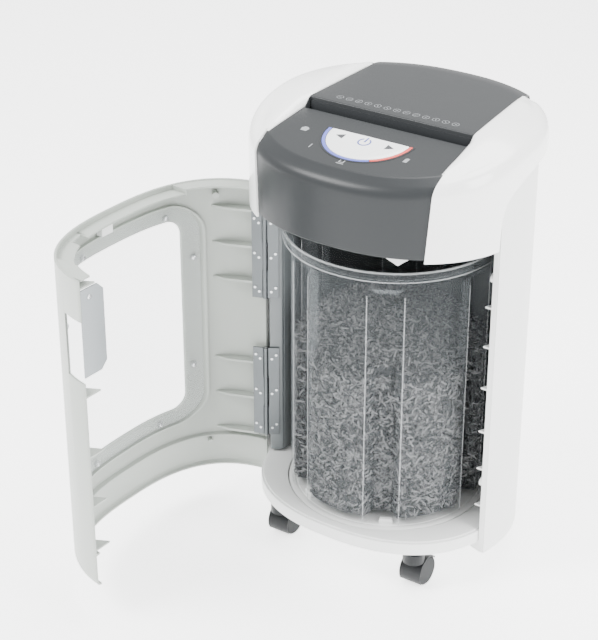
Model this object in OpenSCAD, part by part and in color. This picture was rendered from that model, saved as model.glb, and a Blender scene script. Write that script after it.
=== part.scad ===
// Cabinet paper shredder on castors, with a hinged front door and a pull-out bin.
// Origin: on the floor, under the vertical axis of the round bin stand.
// X is to the right seen from the front, Y to the back, Z up.

/* [Cabinet] */
// Half width of the machine head
head_half_w = 184; // [180:1:190]
// Head depth in front of the bin's axis
head_front = 163; // [161:1:170]
// Head depth behind the bin's axis
head_rear = 168; // [164:1:176]
// Cabinet depth behind the bin's axis
cabinet_rear = 153; // [152:1:158]
// Height of the bin stand's top above the floor
stand_top = 80; // [78:1:90]
// Underside of the base plate above the floor
base_bottom = 60; // [58:1:62]
// Thickness of the moulded walls
wall = 3; // [2.5:0.5:3]

/* [Head] */
// Lower edge of the fascia above the floor
fascia_bottom = 494; // [490:1:500]
// Height of the rear deck
deck_top = 621; // [616:1:630]
// Half length of the paper slot
slot_half = 118; // [110:1:118]
// Radius of the control panel
panel_r = 61; // [50:1:66]

/* [Door] */
// Angle that the door stands open at rest
door_open = 93; // [0:1:100]
// Top edge of the door
door_top = 490; // [484:1:490]
// Lower edge of the door
door_bottom = 50; // [43:1:55]

/* [Bin] */
// Radius of the bin's body
bin_r = 134; // [125:1:135]
// Depth of the bin's flutes
flute_depth = 19; // [10:1:20]
// Top of the bin's rim
bin_top = 460; // [440:1:466]
// Height of the heap of clippings in the middle
heap_top = 355; // [200:5:400]

/* [Cutting block] */
// Distance between the two cutter shafts
shaft_gap = 28; // [28:1:28]
// Number of cutting discs on each shaft
discs = 28; // [10:1:28]

/* [Castors] */
// Radius of the castor wheels
wheel_r = 20; // [18:1:20]
// Distance from the swivel axis back to the wheel's hub
trail = 12; // [8:1:14]

/* [Hidden] */

fit = 0.05;          // radial clearance of a running fit
gap = 0.4;           // gap between separate pieces
front_power = 2.3;   // how square the front half of the outline is
door_power = 2.7;    // the same for the door, which is a little fuller at its edges
outline_steps = 96;
round_fn = 64;

hinge_x = -171.3;
hinge_y = -47.4;
panel_front = -50;       // front edge of the right side panel
panel_front_left = -34;  // the left one starts behind the hinge
panel_bottom = 45;
flange_z = 480;          // the lower middle part of the door's top flange
cabinet_half = head_half_w - 2;
split_z = 582;           // seam between head and cabinet at the back
slot_front_y = -31;
slot_back_y = -18;
slot_front_z = 606;
slot_back_z = 617;
crease_y = -146;
crease_z = 591;
zone_front = 130;        // half width of the grey zone at the front and at the back
zone_rear = 109;
disc_r = 137;
rim_r = 145;
bin_floor = stand_top + 8.4;
lug_h = 7;
shaft_z = 552;
front_shaft_y = -24.5 - shaft_gap / 2;
rear_shaft_y = -24.5 + shaft_gap / 2;
plate_x = 119;           // inner face of the cutter side plates
plate_t = 4;
module_mm = 2;           // gear module
mid_angle = 15;          // where the intermediate gear sits round the rear shaft
motor_angle = -30;       // where the motor sits round the intermediate gear
drive_teeth = 30;
small_teeth = 10;
big_teeth = 40;
pinion_teeth = 10;
sync_teeth = 14;
tie_spots = [[-48, 522], [-48, 584], [90, 505], [52, 592]];
mid_dist = module_mm * (drive_teeth + small_teeth) / 2;
motor_dist = module_mm * (big_teeth + pinion_teeth) / 2;
mid_y = rear_shaft_y + mid_dist * cos(mid_angle);
mid_z = shaft_z + mid_dist * sin(mid_angle);
motor_y = mid_y + motor_dist * cos(motor_angle);
motor_z = mid_z + motor_dist * sin(motor_angle);
disc_outer = 15.5;
spacer_r = 11;
shaft_r = 7;
disc_w = 3.4;
disc_pitch = 8;
hinge_low = [110, 248];   // lower and upper hinge, from and to above the floor
hinge_high = [325, 452];
knuckle_r = 3.5;
hinge_pin_r = 2;
leaf_w = 18;
leaf_t = 2;
body_leaf_angle = 32;
door_leaf_angle = -66;
castor_front = [106, -106];
castor_rear = [102, 102];
stem_r = 4;
castor_axle_r = 3;
inlet = [-16, 529];       // mains inlet and switch on the back panel, x and z
rocker = [18, 529];
back_flat = 150;          // the flat middle of the back panel
rocker_z = rocker[1];
rocker_y = back_flat - 9; // pivot of the rocker
gear_w = 6;

// ---- outlines ----

// One point of a squared oval, with its own depth in front and behind
function oval(a, front, rear, n_rear, t, n_front = front_power) =
    let (n = sin(t) < 0 ? n_front : n_rear, b = sin(t) < 0 ? front : rear)
    [
        a * sign(cos(t)) * pow(abs(cos(t)), 2 / n),
        b * sign(sin(t)) * pow(abs(sin(t)), 2 / n),
    ];

// The whole outline, for a head, cabinet, door or base
module outline(a, front, rear, n_rear, n_front = front_power) {
    polygon([
        for (i = [0 : outline_steps - 1])
            oval(a, front, rear, n_rear, 360 * i / outline_steps, n_front)
    ]);
}

// The cabinet's outline, drawn in by a distance
module cabinet_outline(inset) {
    intersection() {
        outline(cabinet_half - inset, head_front - 2 - inset, cabinet_rear - inset, 2);
        translate([-200, -200]) square([400, 200 + back_flat - inset]);
    }
}

module head_outline(inset) {
    outline(head_half_w - inset, head_front - inset, head_rear - inset, 2.3);
}

// Side view of the head's top, from the fascia to the back
module deck_profile(drop) {
    polygon([
        [-180, 400], [-180, crease_z - 12 - drop], [crease_y, crease_z - drop],
        [slot_front_y, slot_front_z - drop], [slot_back_y, slot_back_z - drop],
        [head_rear - 20, deck_top - drop], [head_rear + 10, deck_top - 1 - drop],
        [head_rear + 10, 400],
    ]);
}

// The grey middle of the head, seen from above and from the front
module grey_zone(grow) {
    intersection() {
        linear_extrude(height = 700)
            polygon([
                [-zone_front - grow, -172], [zone_front + grow, -172],
                [zone_rear + grow, 178], [-zone_rear - grow, 178],
            ]);
        translate([0, 180, 0]) rotate([90, 0, 0]) linear_extrude(height = 360)
            polygon([
                [-119.5 - grow, fascia_bottom - 10], [119.5 + grow, fascia_bottom - 10],
                [129 + grow, 640], [-129 - grow, 640],
            ]);
    }
}

// Side view of the white covers: low at the front, sweeping up behind
module cover_profile(drop) {
    polygon([
        [-200, 491 - drop], [panel_front, 491 - drop], [panel_front, 532 - drop],
        [-44, 551 - drop], [-30, 563 - drop], [-6, 573 - drop], [22, 579 - drop],
        [60, split_z - drop], [220, split_z - drop], [220, 700], [-200, 700],
    ]);
}

// Extrudes a side view, drawn as Y and Z, across the whole width
module across(w = 400) {
    translate([-w / 2, 0, 0]) rotate([90, 0, 90]) linear_extrude(height = w) children();
}

// Outline of the bin, with six flutes, drawn in by a distance
module bin_outline(inset) {
    polygon([
        for (i = [0 : 119])
            let (t = 3 * i, r = bin_r - inset - flute_depth * max(0, cos(6 * t)))
            [r * cos(t), r * sin(t)]
    ]);
}

// Puts a door piece, drawn closed, where the open door has it
module on_door() {
    translate([hinge_x, hinge_y, 0]) rotate([0, 0, -door_open]) translate([-hinge_x, -hinge_y, 0]) children();
}

// A curved layer of the door between two depths, drawn closed
module door_layer(outer, inner, z0, z1) {
    translate([0, 0, z0]) linear_extrude(height = z1 - z0)
        difference() {
            outline(head_half_w - outer, head_front - outer, 10, 2, door_power);
            outline(head_half_w - inner, head_front - inner, 10 - inner / 4, 2, door_power);
        }
}

module mirrored_x() {
    children();
    mirror([1, 0, 0]) children();
}

// Spur gear with straight-sided teeth
module gear(teeth, width, bore, turn = 0) {
    pitch_r = module_mm * teeth / 2;
    step = 360 / teeth;
    difference() {
        linear_extrude(height = width)
            rotate(turn)
                polygon([
                    for (i = [0 : teeth - 1])
                        for (c = [[-0.34, -2.3], [-0.27, -1.0], [-0.12, 1.4], [0.12, 1.4], [0.27, -1.0], [0.34, -2.3]])
                            let (t = step * (i + c[0]), r = pitch_r + c[1])
                            [r * cos(t), r * sin(t)]
                ]);
        translate([0, 0, -1]) cylinder(h = width + 2, r = bore, $fn = round_fn);
    }
}

// Turns a gear or shaft drawn along Z to lie along X, starting at x
module along_x(x, y, z) {
    translate([x, y, z]) rotate([90, 0, 90]) children();
}

// ---- cabinet ----

module base_plate() {
    color("gainsboro")
    difference() {
        union() {
            translate([0, 0, base_bottom]) linear_extrude(height = stand_top - base_bottom - 2)
                outline(176, 153, 146, 2);
            translate([0, 0, base_bottom + 3]) linear_extrude(height = stand_top - base_bottom - 3)
                outline(173, 150, 143, 2);
        }
        translate([0, 0, stand_top - 12]) cylinder(h = 20, r = disc_r + 0.6, $fn = round_fn * 2);
        for (p = [castor_front, castor_rear])
            for (s = [-1, 1])
                translate([s * p[0], p[1], base_bottom - 1]) cylinder(h = 16, r = stem_r, $fn = round_fn);
    }
}

module bin_stand() {
    color("whitesmoke")
    union() {
        translate([0, 0, stand_top - 11.9]) rotate_extrude($fn = round_fn * 2)
            polygon([[0, 0], [disc_r, 0], [disc_r, 9.9], [disc_r - 2, 11.9], [0, 11.9]]);
        for (t = [60, 120, 240, 300])
            rotate([0, 0, t]) translate([116, -9, stand_top - 1]) cube([8, 18, lug_h + 1]);
    }
}

module side_wall(front_y) {
    difference() {
        translate([0, 0, panel_bottom]) linear_extrude(height = 560)
            difference() {
                cabinet_outline(0);
                cabinet_outline(wall - 0.5);
            }
        translate([-300, -300, 0]) cube([600, 300 + front_y, 700]);
        translate([-200, 90, 0]) cube([290, 100, 700]);
        translate([-200, -300, 0]) cube([200, 600, 700]);
        across(600) cover_profile(0.5);
    }
}

// Triangular fins along a side wall's front edge
module side_fins(front_y) {
    for (z = [112, 168, 224, 288, 348, 404])
        translate([0, 0, z]) linear_extrude(height = 2.5)
            intersection() {
                cabinet_outline(1.5);
                polygon([[184, front_y + 6], [160, front_y + 6], [184, front_y + 34]]);
            }
}

module side_panel_right() {
    color("whitesmoke")
    union() {
        side_wall(panel_front);
        side_fins(panel_front);
        for (z = [150, 447])
            translate([166, panel_front + 9, z]) rotate([0, 90, 0]) difference() {
                cylinder(h = 11, r = 6, $fn = 32);
                translate([0, 0, -1]) cylinder(h = 10, r = 3, $fn = 32);
            }
    }
}

module side_panel_left() {
    color("whitesmoke")
    mirror([1, 0, 0]) side_wall(panel_front_left);
}

module back_panel() {
    color("whitesmoke")
    difference() {
        translate([0, 0, panel_bottom]) linear_extrude(height = split_z - panel_bottom - 0.5)
            difference() {
                cabinet_outline(0);
                cabinet_outline(wall);
            }
        translate([-300, -300, 0]) cube([600, 300 + 90 + gap, 700]);
        for (s = [-1, 1])
            translate([s * 190, 100, 0]) translate([-100, -100, 0]) cube([200, 200, 700]);
        for (i = [0 : 3])
            translate([-30, 130, 555 + 5 * i]) cube([60, 40, 2.2]);
        translate([inlet[0] - 14.2, 130, inlet[1] - 10.2]) cube([28.4, 40, 20.4]);
        translate([rocker[0] - 11.2, 130, rocker[1] - 15.2]) cube([22.4, 40, 30.4]);
    }
}

module hinge_column() {
    color("lightsteelblue")
    difference() {
        translate([0, 0, stand_top + 4]) linear_extrude(height = fascia_bottom - stand_top - 6)
            polygon([
                [-166.9, -42.7], [-155.4, -35.5], [-152, -30], [-152, -10],
                [-175, -10], [-175, -33], [-170.5, -38.5],
            ]);
        for (i = [0 : 13])
            translate([-158, -29, stand_top + 16 + 28 * i]) cube([10, 16, 20]);
    }
}

module hinge_leaf(span, angle, mid_part) {
    third = (span[1] - span[0]) / 3;
    translate([hinge_x, hinge_y, span[0]]) rotate([0, 0, angle])
        difference() {
            union() {
                translate([knuckle_r - 1, -leaf_t / 2, 0]) cube([leaf_w - knuckle_r + 1, leaf_t, 3 * third]);
                if (mid_part)
                    translate([0, 0, third + 0.3]) cylinder(h = third - 0.6, r = knuckle_r, $fn = 32);
                if (!mid_part)
                    for (k = [0, 2])
                        translate([0, 0, k * third]) cylinder(h = third, r = knuckle_r, $fn = 32);
            }
            translate([0, 0, -1])
                cylinder(h = 3 * third + 2, r = mid_part ? hinge_pin_r + fit : hinge_pin_r, $fn = 32);
            if (mid_part)
                for (k = [0, 2])
                    translate([-knuckle_r - 1, -knuckle_r - 1, k * third - 0.3])
                        cube([2 * knuckle_r + 1.5, 2 * knuckle_r + 2, third + 0.6]);
            if (!mid_part)
                translate([-knuckle_r - 1, -knuckle_r - 1, third])
                    cube([2 * knuckle_r + 1.5, 2 * knuckle_r + 2, third]);
        }
}

module hinge_screw_row(span, angle, side) {
    for (f = [0.1, 0.5, 0.9])
        for (o = [8, 14])
            translate([hinge_x, hinge_y, span[0] + f * (span[1] - span[0]) + (o - 11)])
                rotate([0, 0, angle]) translate([o, side * (leaf_t / 2 + 0.02), 0]) rotate([-90 * side, 0, 0])
                    cylinder(h = 1, r = 1.8, $fn = 24);
}

module body_hinge_leaves() {
    color("lightslategray")
    union() {
        hinge_leaf(hinge_low, body_leaf_angle, false);
        hinge_leaf(hinge_high, body_leaf_angle, false);
    }
}

module hinge_pins() {
    color("silver")
    for (span = [hinge_low, hinge_high])
        translate([hinge_x, hinge_y, span[0]]) cylinder(h = span[1] - span[0], r = hinge_pin_r - 0.01, $fn = 32);
}

module body_hinge_screws() {
    color("silver")
    for (span = [hinge_low, hinge_high])
        hinge_screw_row(span, body_leaf_angle, -1);
}

module mains_inlet() {
    color("dimgray")
    union() {
        difference() {
            union() {
                translate([inlet[0] - 17, 124, inlet[1] - 13]) cube([34, back_flat - wall - 124.1, 26]);
                translate([inlet[0] - 14, 140, inlet[1] - 10]) cube([28, back_flat - 140.2, 20]);
            }
            translate([inlet[0] - 12, 134, inlet[1] - 8]) cube([24, 30, 16]);
        }
        for (p = [[-7, -1], [0, 3], [7, -1]])
            translate([inlet[0] + p[0] - 1, 132, inlet[1] + p[1] - 2]) cube([2, 15, 4]);
    }
}

module switch_frame() {
    color("dimgray")
    difference() {
        union() {
            translate([rocker[0] - 13, 124, rocker_z - 17]) cube([26, back_flat - wall - 124.1, 34]);
            translate([rocker[0] - 11, 140, rocker_z - 15]) cube([22, back_flat - 140.2, 30]);
        }
        translate([rocker[0] - 9, 130, rocker_z - 13]) cube([18, 30, 26]);
        translate([rocker[0] - 12, rocker_y, rocker_z]) rotate([0, 90, 0])
            cylinder(h = 24, r = 1.5, $fn = 24);
    }
}

module mains_rocker() {
    color("black")
    intersection() {
        union() {
            translate([rocker[0] - 8.5, rocker_y, rocker_z]) rotate([0, 90, 0])
                cylinder(h = 17, r = 10, $fn = round_fn);
            translate([rocker[0] - 10.8, rocker_y, rocker_z]) rotate([0, 90, 0])
                cylinder(h = 21.6, r = 1.5 - fit, $fn = 24);
        }
        translate([rocker[0] - 12, rocker_y - 5, rocker_z - 12]) cube([24, 13, 24]);
    }
}

// ---- head ----

module head_chassis() {
    color("dimgray")
    difference() {
        translate([0, 0, fascia_bottom + 2]) linear_extrude(height = 12)
            cabinet_outline(wall + 3);
        translate([0, 0, fascia_bottom + 5]) linear_extrude(height = 20)
            cabinet_outline(wall + 6);
        translate([-slot_half + 2, -60, fascia_bottom]) cube([2 * slot_half - 4, 70, 20]);
        translate([hinge_x - 12, hinge_y - 6, fascia_bottom]) cube([30, 45, 2]);
    }
}

module head_shell() {
    color("gray")
    difference() {
        intersection() {
            translate([0, 0, fascia_bottom]) linear_extrude(height = 160) head_outline(0);
            across() deck_profile(0);
            grey_zone(0);
        }
        intersection() {
            translate([0, 0, fascia_bottom - 1]) linear_extrude(height = 160) head_outline(wall);
            across() deck_profile(wall);
        }
        translate([-200, 60, 400]) cube([400, 200, split_z - 400]);
        translate([-slot_half, slot_front_y, 560]) cube([2 * slot_half, slot_back_y - slot_front_y, 100]);
        panel_cut(0.3);
    }
}

// Sloped seat of the half-round control panel, in front of the slot
module panel_cut(grow) {
    translate([0, -63, 560])
        intersection() {
            cylinder(h = 80, r = panel_r + grow, $fn = round_fn * 2);
            translate([-80, -80, 0]) cube([160, 80 + grow, 80]);
        }
}

module deck_slice(top_drop, low_drop) {
    intersection() {
        across() difference() {
            deck_profile(top_drop);
            deck_profile(low_drop);
        }
        translate([-100, -130, 560]) cube([200, 68, 80]);
    }
}

module control_panel() {
    color("whitesmoke")
    intersection() {
        deck_slice(0.2, 4);
        translate([0, -63, 560])
            cylinder(h = 80, r = panel_r - 5, $fn = round_fn * 2);
        translate([-80, -130, 560]) cube([160, 67, 80]);
    }
}

module status_ring(from_angle, to_angle) {
    intersection() {
        deck_slice(0.2, 3);
        translate([0, -63, 560]) rotate([0, 0, from_angle])
            rotate_extrude(angle = to_angle - from_angle, $fn = round_fn * 2)
                translate([panel_r - 4.8, 0]) square([4.6, 80]);
        translate([-80, -130, 560]) cube([160, 66.8, 80]);
    }
}

module status_ring_blue() {
    color("cornflowerblue") status_ring(180, 299.7);
}

module status_ring_red() {
    color("salmon") status_ring(300, 360);
}

module control_board() {
    color("darkgreen")
    difference() {
        intersection() {
            deck_slice(7, 8.6);
            translate([-58, -118, 560]) cube([116, 54, 80]);
        }
        for (x = [-50, 50])
            translate([x, -70, 560]) cylinder(h = 80, r = 1.6, $fn = 24);
    }
}

module head_cover() {
    difference() {
        intersection() {
            translate([0, 0, 480]) linear_extrude(height = 160) head_outline(0);
            across() deck_profile(-3);
            across() cover_profile(0);
        }
        intersection() {
            translate([0, 0, 479]) linear_extrude(height = 160) head_outline(wall);
            across() deck_profile(0.5);
        }
        grey_zone(gap);
        translate([-300, -300, 400]) cube([300, 600, 300]);
    }
}

module head_cover_right() {
    color("white") head_cover();
}

module head_cover_left() {
    color("white") mirror([1, 0, 0]) head_cover();
}

// The two plates that lead the paper from the slot to the cutters
module feed_throat() {
    color("slategray")
    across(2 * (slot_half - 2))
        polygon([
            [slot_front_y - 3, 598], [slot_front_y - 1, 602], [slot_front_y + 0.4, 602], [slot_front_y + 3, 572],
            [slot_front_y + 1.5, 572],
        ]);
    color("slategray")
    across(2 * (slot_half - 2))
        polygon([
            [slot_back_y + 1, 612], [slot_back_y - 0.4, 612], [slot_back_y - 3, 572], [slot_back_y - 1.5, 572],
        ]);
}

module interlock_switch() {
    color("whitesmoke")
    difference() {
        union() {
            translate([49, -128, 484]) cube([51, 20, 11.9]);
            translate([78, -134, 475]) cube([12, 22, 9.5]);
        }
        translate([54, -124, 483]) cube([20, 12, 8]);
    }
}

module cutter_plate(side) {
    translate([side > 0 ? plate_x : -plate_x - plate_t, 0, 0])
        rotate([90, 0, 90]) linear_extrude(height = plate_t)
            difference() {
                polygon([
                    [-58, fascia_bottom + 5.2], [99, fascia_bottom + 5.2], [99, 574],
                    [60, 600], [-50, 594], [-58, 580],
                ]);
                translate([front_shaft_y, shaft_z]) circle(r = 10, $fn = round_fn);
                translate([rear_shaft_y, shaft_z]) circle(r = 10, $fn = round_fn);
                translate([mid_y, mid_z]) circle(r = 4, $fn = round_fn);
                translate([motor_y, motor_z]) circle(r = 6, $fn = round_fn);
                for (p = tie_spots)
                    translate(p) circle(r = 4, $fn = 32);
            }
}

module cutter_plate_left() {
    color("silver") cutter_plate(-1);
}

module cutter_plate_right() {
    color("silver") cutter_plate(1);
}

module tie_rods() {
    color("darkgray")
    for (p = tie_spots)
        along_x(-plate_x - plate_t - 3, p[0], p[1])
            rotate_extrude($fn = 32)
                polygon([
                    [0, 0], [5.5, 0], [5.5, 2.9], [3.9, 2.9], [3.9, 7.1], [5, 7.1], [5, 2 * plate_x + 6.9],
                    [3.9, 2 * plate_x + 6.9], [3.9, 2 * plate_x + 2 * plate_t + 3.1],
                    [5.5, 2 * plate_x + 2 * plate_t + 3.1], [5.5, 2 * plate_x + 2 * plate_t + 6],
                    [0, 2 * plate_x + 2 * plate_t + 6],
                ]);
}

module cutter_bearings() {
    color("goldenrod")
    for (y = [front_shaft_y, rear_shaft_y])
        for (x = [-plate_x - plate_t, plate_x])
            along_x(x, y, shaft_z)
                difference() {
                    cylinder(h = plate_t, r = 9.99, $fn = round_fn);
                    translate([0, 0, -1]) cylinder(h = plate_t + 2, r = shaft_r + fit, $fn = round_fn);
                }
}

// One cutter: a shaft with a row of discs, turned from one profile
module cutter(y, first_x, right_end) {
    along_x(0, y, shaft_z)
        rotate_extrude($fn = round_fn)
            polygon(concat(
                [[0, -plate_x - plate_t - 4], [shaft_r, -plate_x - plate_t - 4], [shaft_r, -plate_x + 1],
                    [spacer_r, -plate_x + 1]],
                [
                    for (i = [0 : discs - 1])
                        for (p = [[spacer_r, 0], [disc_outer, 0], [disc_outer, disc_w], [spacer_r, disc_w]])
                            [p[0], first_x + disc_pitch * i + p[1]]
                ],
                [[spacer_r, plate_x - 1], [shaft_r, plate_x - 1], [shaft_r, right_end], [0, right_end]]
            ));
}

sync_x = plate_x + plate_t + 1.5;
drive_x = sync_x + gear_w + 1.5;
big_x = drive_x + gear_w + 1.5;

module cutter_front() {
    color("darkgray")
    union() {
        cutter(front_shaft_y, -112, sync_x + 1);
        along_x(sync_x, front_shaft_y, shaft_z) gear(sync_teeth, gear_w, 3, 0);
        along_x(sync_x, front_shaft_y, shaft_z) cylinder(h = gear_w, r = shaft_r, $fn = round_fn);
    }
}

module cutter_rear() {
    color("darkgray")
    union() {
        cutter(rear_shaft_y, -108, drive_x + 1);
        along_x(sync_x, rear_shaft_y, shaft_z) gear(sync_teeth, gear_w, 3, 180 + 180 / sync_teeth);
        along_x(sync_x, rear_shaft_y, shaft_z) cylinder(h = 2 * gear_w + 1.5, r = shaft_r, $fn = round_fn);
        along_x(drive_x, rear_shaft_y, shaft_z) gear(drive_teeth, gear_w, 3, mid_angle);
    }
}

module stripper_combs() {
    color("dimgray")
    for (s = [-1, 1])
        translate([0, s > 0 ? rear_shaft_y : front_shaft_y, shaft_z])
            difference() {
                translate([-plate_x + 2, s > 0 ? 12 : -20, -7]) cube([2 * plate_x - 4, 8, 14]);
                rotate([0, 90, 0]) translate([0, 0, -130]) cylinder(h = 260, r = disc_outer + 1, $fn = round_fn);
            }
}

module drive_motor() {
    color("slategray")
    along_x(0, motor_y, motor_z)
        rotate_extrude($fn = round_fn)
            polygon([
                [0, -40], [16, -40], [20, -36], [31, -36], [31, 106], [22, 110], [22, plate_x - 0.2],
                [6.1 + fit, plate_x - 0.2], [6.1 + fit, 100], [0, 100],
            ]);
}

module gear_stub() {
    color("silver")
    along_x(0, mid_y, mid_z)
        rotate_extrude($fn = 32)
            polygon([
                [0, plate_x - 3], [6, plate_x - 3], [6, plate_x - 0.1], [3.99, plate_x - 0.1],
                [3.99, big_x + gear_w + 1], [0, big_x + gear_w + 1],
            ]);
}

module intermediate_gear() {
    color("ivory")
    union() {
        along_x(drive_x, mid_y, mid_z)
            gear(small_teeth, gear_w + 1.5, 4 + fit, mid_angle + 180 + 180 / small_teeth);
        along_x(big_x, mid_y, mid_z) gear(big_teeth, gear_w, 4 + fit, motor_angle);
    }
}

module motor_pinion() {
    color("silver")
    union() {
        along_x(big_x, motor_y, motor_z)
            gear(pinion_teeth, gear_w, 2, motor_angle + 180 + 180 / pinion_teeth);
        along_x(101, motor_y, motor_z) cylinder(h = big_x + gear_w - 101, r = 5.95, $fn = round_fn);
    }
}

// ---- door, drawn closed ----

window_half = 112;
window_z = [150, 438];
window_round = 22;

// Block with rounded corners, as large as the window opening grown by a distance
module window_block(grow) {
    r = window_round + grow;
    w = window_half + grow;
    h0 = window_z[0] - grow;
    h1 = window_z[1] + grow;
    translate([0, -60, 0]) rotate([90, 0, 0]) linear_extrude(height = 140)
        union() {
            translate([-w + r, h0]) square([2 * (w - r), h1 - h0]);
            translate([-w, h0 + r]) square([2 * w, h1 - h0 - 2 * r]);
            for (sx = [-1, 1])
                for (z = [h0 + r, h1 - r])
                    translate([sx * (w - r), z]) circle(r = r, $fn = round_fn);
        }
}

// Triangular web between the door's skin and its free edge
module door_fin(z) {
    intersection() {
        door_layer(1, 40, z, z + 2.5);
        linear_extrude(height = 600) polygon([[184, panel_front - 0.8], [152, panel_front - 0.8], [174, -84]]);
    }
}

module door_shell() {
    color("gainsboro")
    on_door() difference() {
        union() {
            door_layer(0, wall, door_bottom, door_top);
            // top flange, lower in the middle, notched for the switch
            difference() {
                door_layer(1, 22, flange_z, flange_z + 3);
                translate([73, -137, door_top - 20]) cube([22, 60, 30]);
                translate([-300, -200, 0]) cube([300 - 105, 200, 700]);
                translate([150, -200, 0]) cube([200, 200, 700]);
            }
            difference() {
                door_layer(1, 22, door_top - 4, door_top - 1);
                translate([-105, -200, 0]) cube([255, 200, 700]);
            }
            for (x = [-105, 147])
                intersection() {
                    door_layer(1, 22, flange_z, door_top - 1);
                    translate([x, -200, 0]) cube([3, 200, 700]);
                }
            // curl at the bottom and the ledge above it
            door_layer(1, 9, door_bottom, door_bottom + 3);
            door_layer(1, 9, 97, 100);
            // thin rib round the window
            difference() {
                door_layer(2, 8, 100, 480);
                window_block(21.5);
                difference() {
                    translate([-300, -300, 0]) cube([600, 400, 700]);
                    window_block(24);
                }
            }
            // gussets that carry the hinge leaves
            for (span = [hinge_low, hinge_high])
                for (f = [0.02, 0.44, 0.84])
                    intersection() {
                        door_layer(1, 30, span[0] + f * (span[1] - span[0]), span[0] + f * (span[1] - span[0]) + 3);
                        linear_extrude(height = 600)
                            polygon([[-180, -60], [-168, -60], [-152, -105], [-180, -105]]);
                    }
            for (z = [104, 170, 243, 329, 476.5]) door_fin(z);
        }
        translate([-300, panel_front - 0.5, 0]) cube([600, 300, 700]);
        translate([-300, -52, 0]) cube([200, 300, 700]);
        window_block(0);
        translate([hinge_x - knuckle_r - 0.6, hinge_y - knuckle_r - 1, 0]) cube([12, 12, 700]);
        // grip cut-out, open at the free edge
        translate([150, -85, 350]) cube([60, 60, 85]);
    }
}

module door_window() {
    color("aliceblue")
    on_door() intersection() {
        door_layer(wall + 0.2, wall + 2.2, 10, 500);
        window_block(20);
    }
}

// Places children on the door's inner face at a closed x, axis pointing inwards
module at_door_inside(x, z, depth) {
    a = head_half_w - depth;
    b = head_front - depth;
    y = -b * pow(1 - pow(abs(x) / a, door_power), 1 / door_power);
    slope_x = pow(abs(x) / a, door_power - 1) / a * sign(x);
    slope_y = pow(abs(y) / b, door_power - 1) / b;
    turn = atan2(slope_x, slope_y);
    translate([x, y, z]) rotate([0, 0, turn]) rotate([-90, 0, 0]) children();
}

// x and height of the screws that hold the window
window_screw_spots = [
    [-124, 380], [-120, 216], [124, 380], [120, 216], [-88, 446], [66, 446], [-66, 138], [62, 138],
];

module window_screws() {
    color("silver")
    on_door() for (p = window_screw_spots)
        at_door_inside(p[0] * 0.97, p[1], wall + 2.4) cylinder(h = 3, r = 3, $fn = 24);
}

module grip_plate() {
    color("lightsteelblue")
    on_door() translate([0, panel_front - 0.8, 0]) rotate([90, 0, 0]) linear_extrude(height = 2)
        polygon([[177.4, 357], [177.4, 475], [148, 475], [138, 465], [138, 367], [148, 357]]);
}

module grip_screw() {
    color("silver")
    on_door() translate([163, panel_front - 0.78, 463]) rotate([-90, 0, 0]) cylinder(h = 1.2, r = 3, $fn = 24);
}

module door_hinge_leaves() {
    color("lightslategray")
    on_door() {
        hinge_leaf(hinge_low, door_leaf_angle, true);
        hinge_leaf(hinge_high, door_leaf_angle, true);
    }
}

module door_hinge_screws() {
    color("silver")
    on_door() for (span = [hinge_low, hinge_high])
        hinge_screw_row(span, door_leaf_angle, 1);
}

module interlock_striker() {
    color("white")
    on_door() difference() {
        translate([14, -157.8, 464.6]) cube([20, 10.4, 15]);
        translate([17, -159, 467.6]) cube([14, 8.6, 20]);
    }
}

// ---- bin ----

module waste_bin() {
    color("lightcyan")
    difference() {
        union() {
            translate([0, 0, stand_top + 0.4]) linear_extrude(height = bin_top - stand_top - 10)
                bin_outline(0);
            translate([0, 0, bin_top - 14]) rotate_extrude($fn = round_fn * 2)
                polygon([[110, 0], [rim_r - 5, 0], [rim_r, 5], [rim_r, 14], [110, 14]]);
        }
        translate([0, 0, bin_floor + 2.6]) linear_extrude(height = bin_top) bin_outline(2.5);
        translate([0, 0, stand_top]) linear_extrude(height = bin_floor - stand_top) bin_outline(2.5);
        translate([0, 0, bin_top - 9]) rotate_extrude($fn = round_fn * 2)
            polygon([[0, 0], [rim_r - 6, 0], [rim_r - 2.5, 3], [rim_r - 2.5, 20], [0, 20]]);
        // grooves that clear the lugs of the stand on the way out
        for (s = [-1, 1])
            translate([s * 60 - 14, -200, stand_top]) cube([28, 400, lug_h + 0.9]);
    }
}

module paper_clippings() {
    color("lightgray")
    intersection() {
        translate([0, 0, bin_floor + 2.9]) linear_extrude(height = 300) bin_outline(3);
        rotate_extrude($fn = round_fn)
            polygon([
                [0, bin_floor], [bin_r, bin_floor], [bin_r, heap_top - 62], [bin_r * 0.8, heap_top - 32],
                [bin_r * 0.5, heap_top - 10], [bin_r * 0.2, heap_top], [0, heap_top],
            ]);
    }
}

// ---- castors ----

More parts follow.
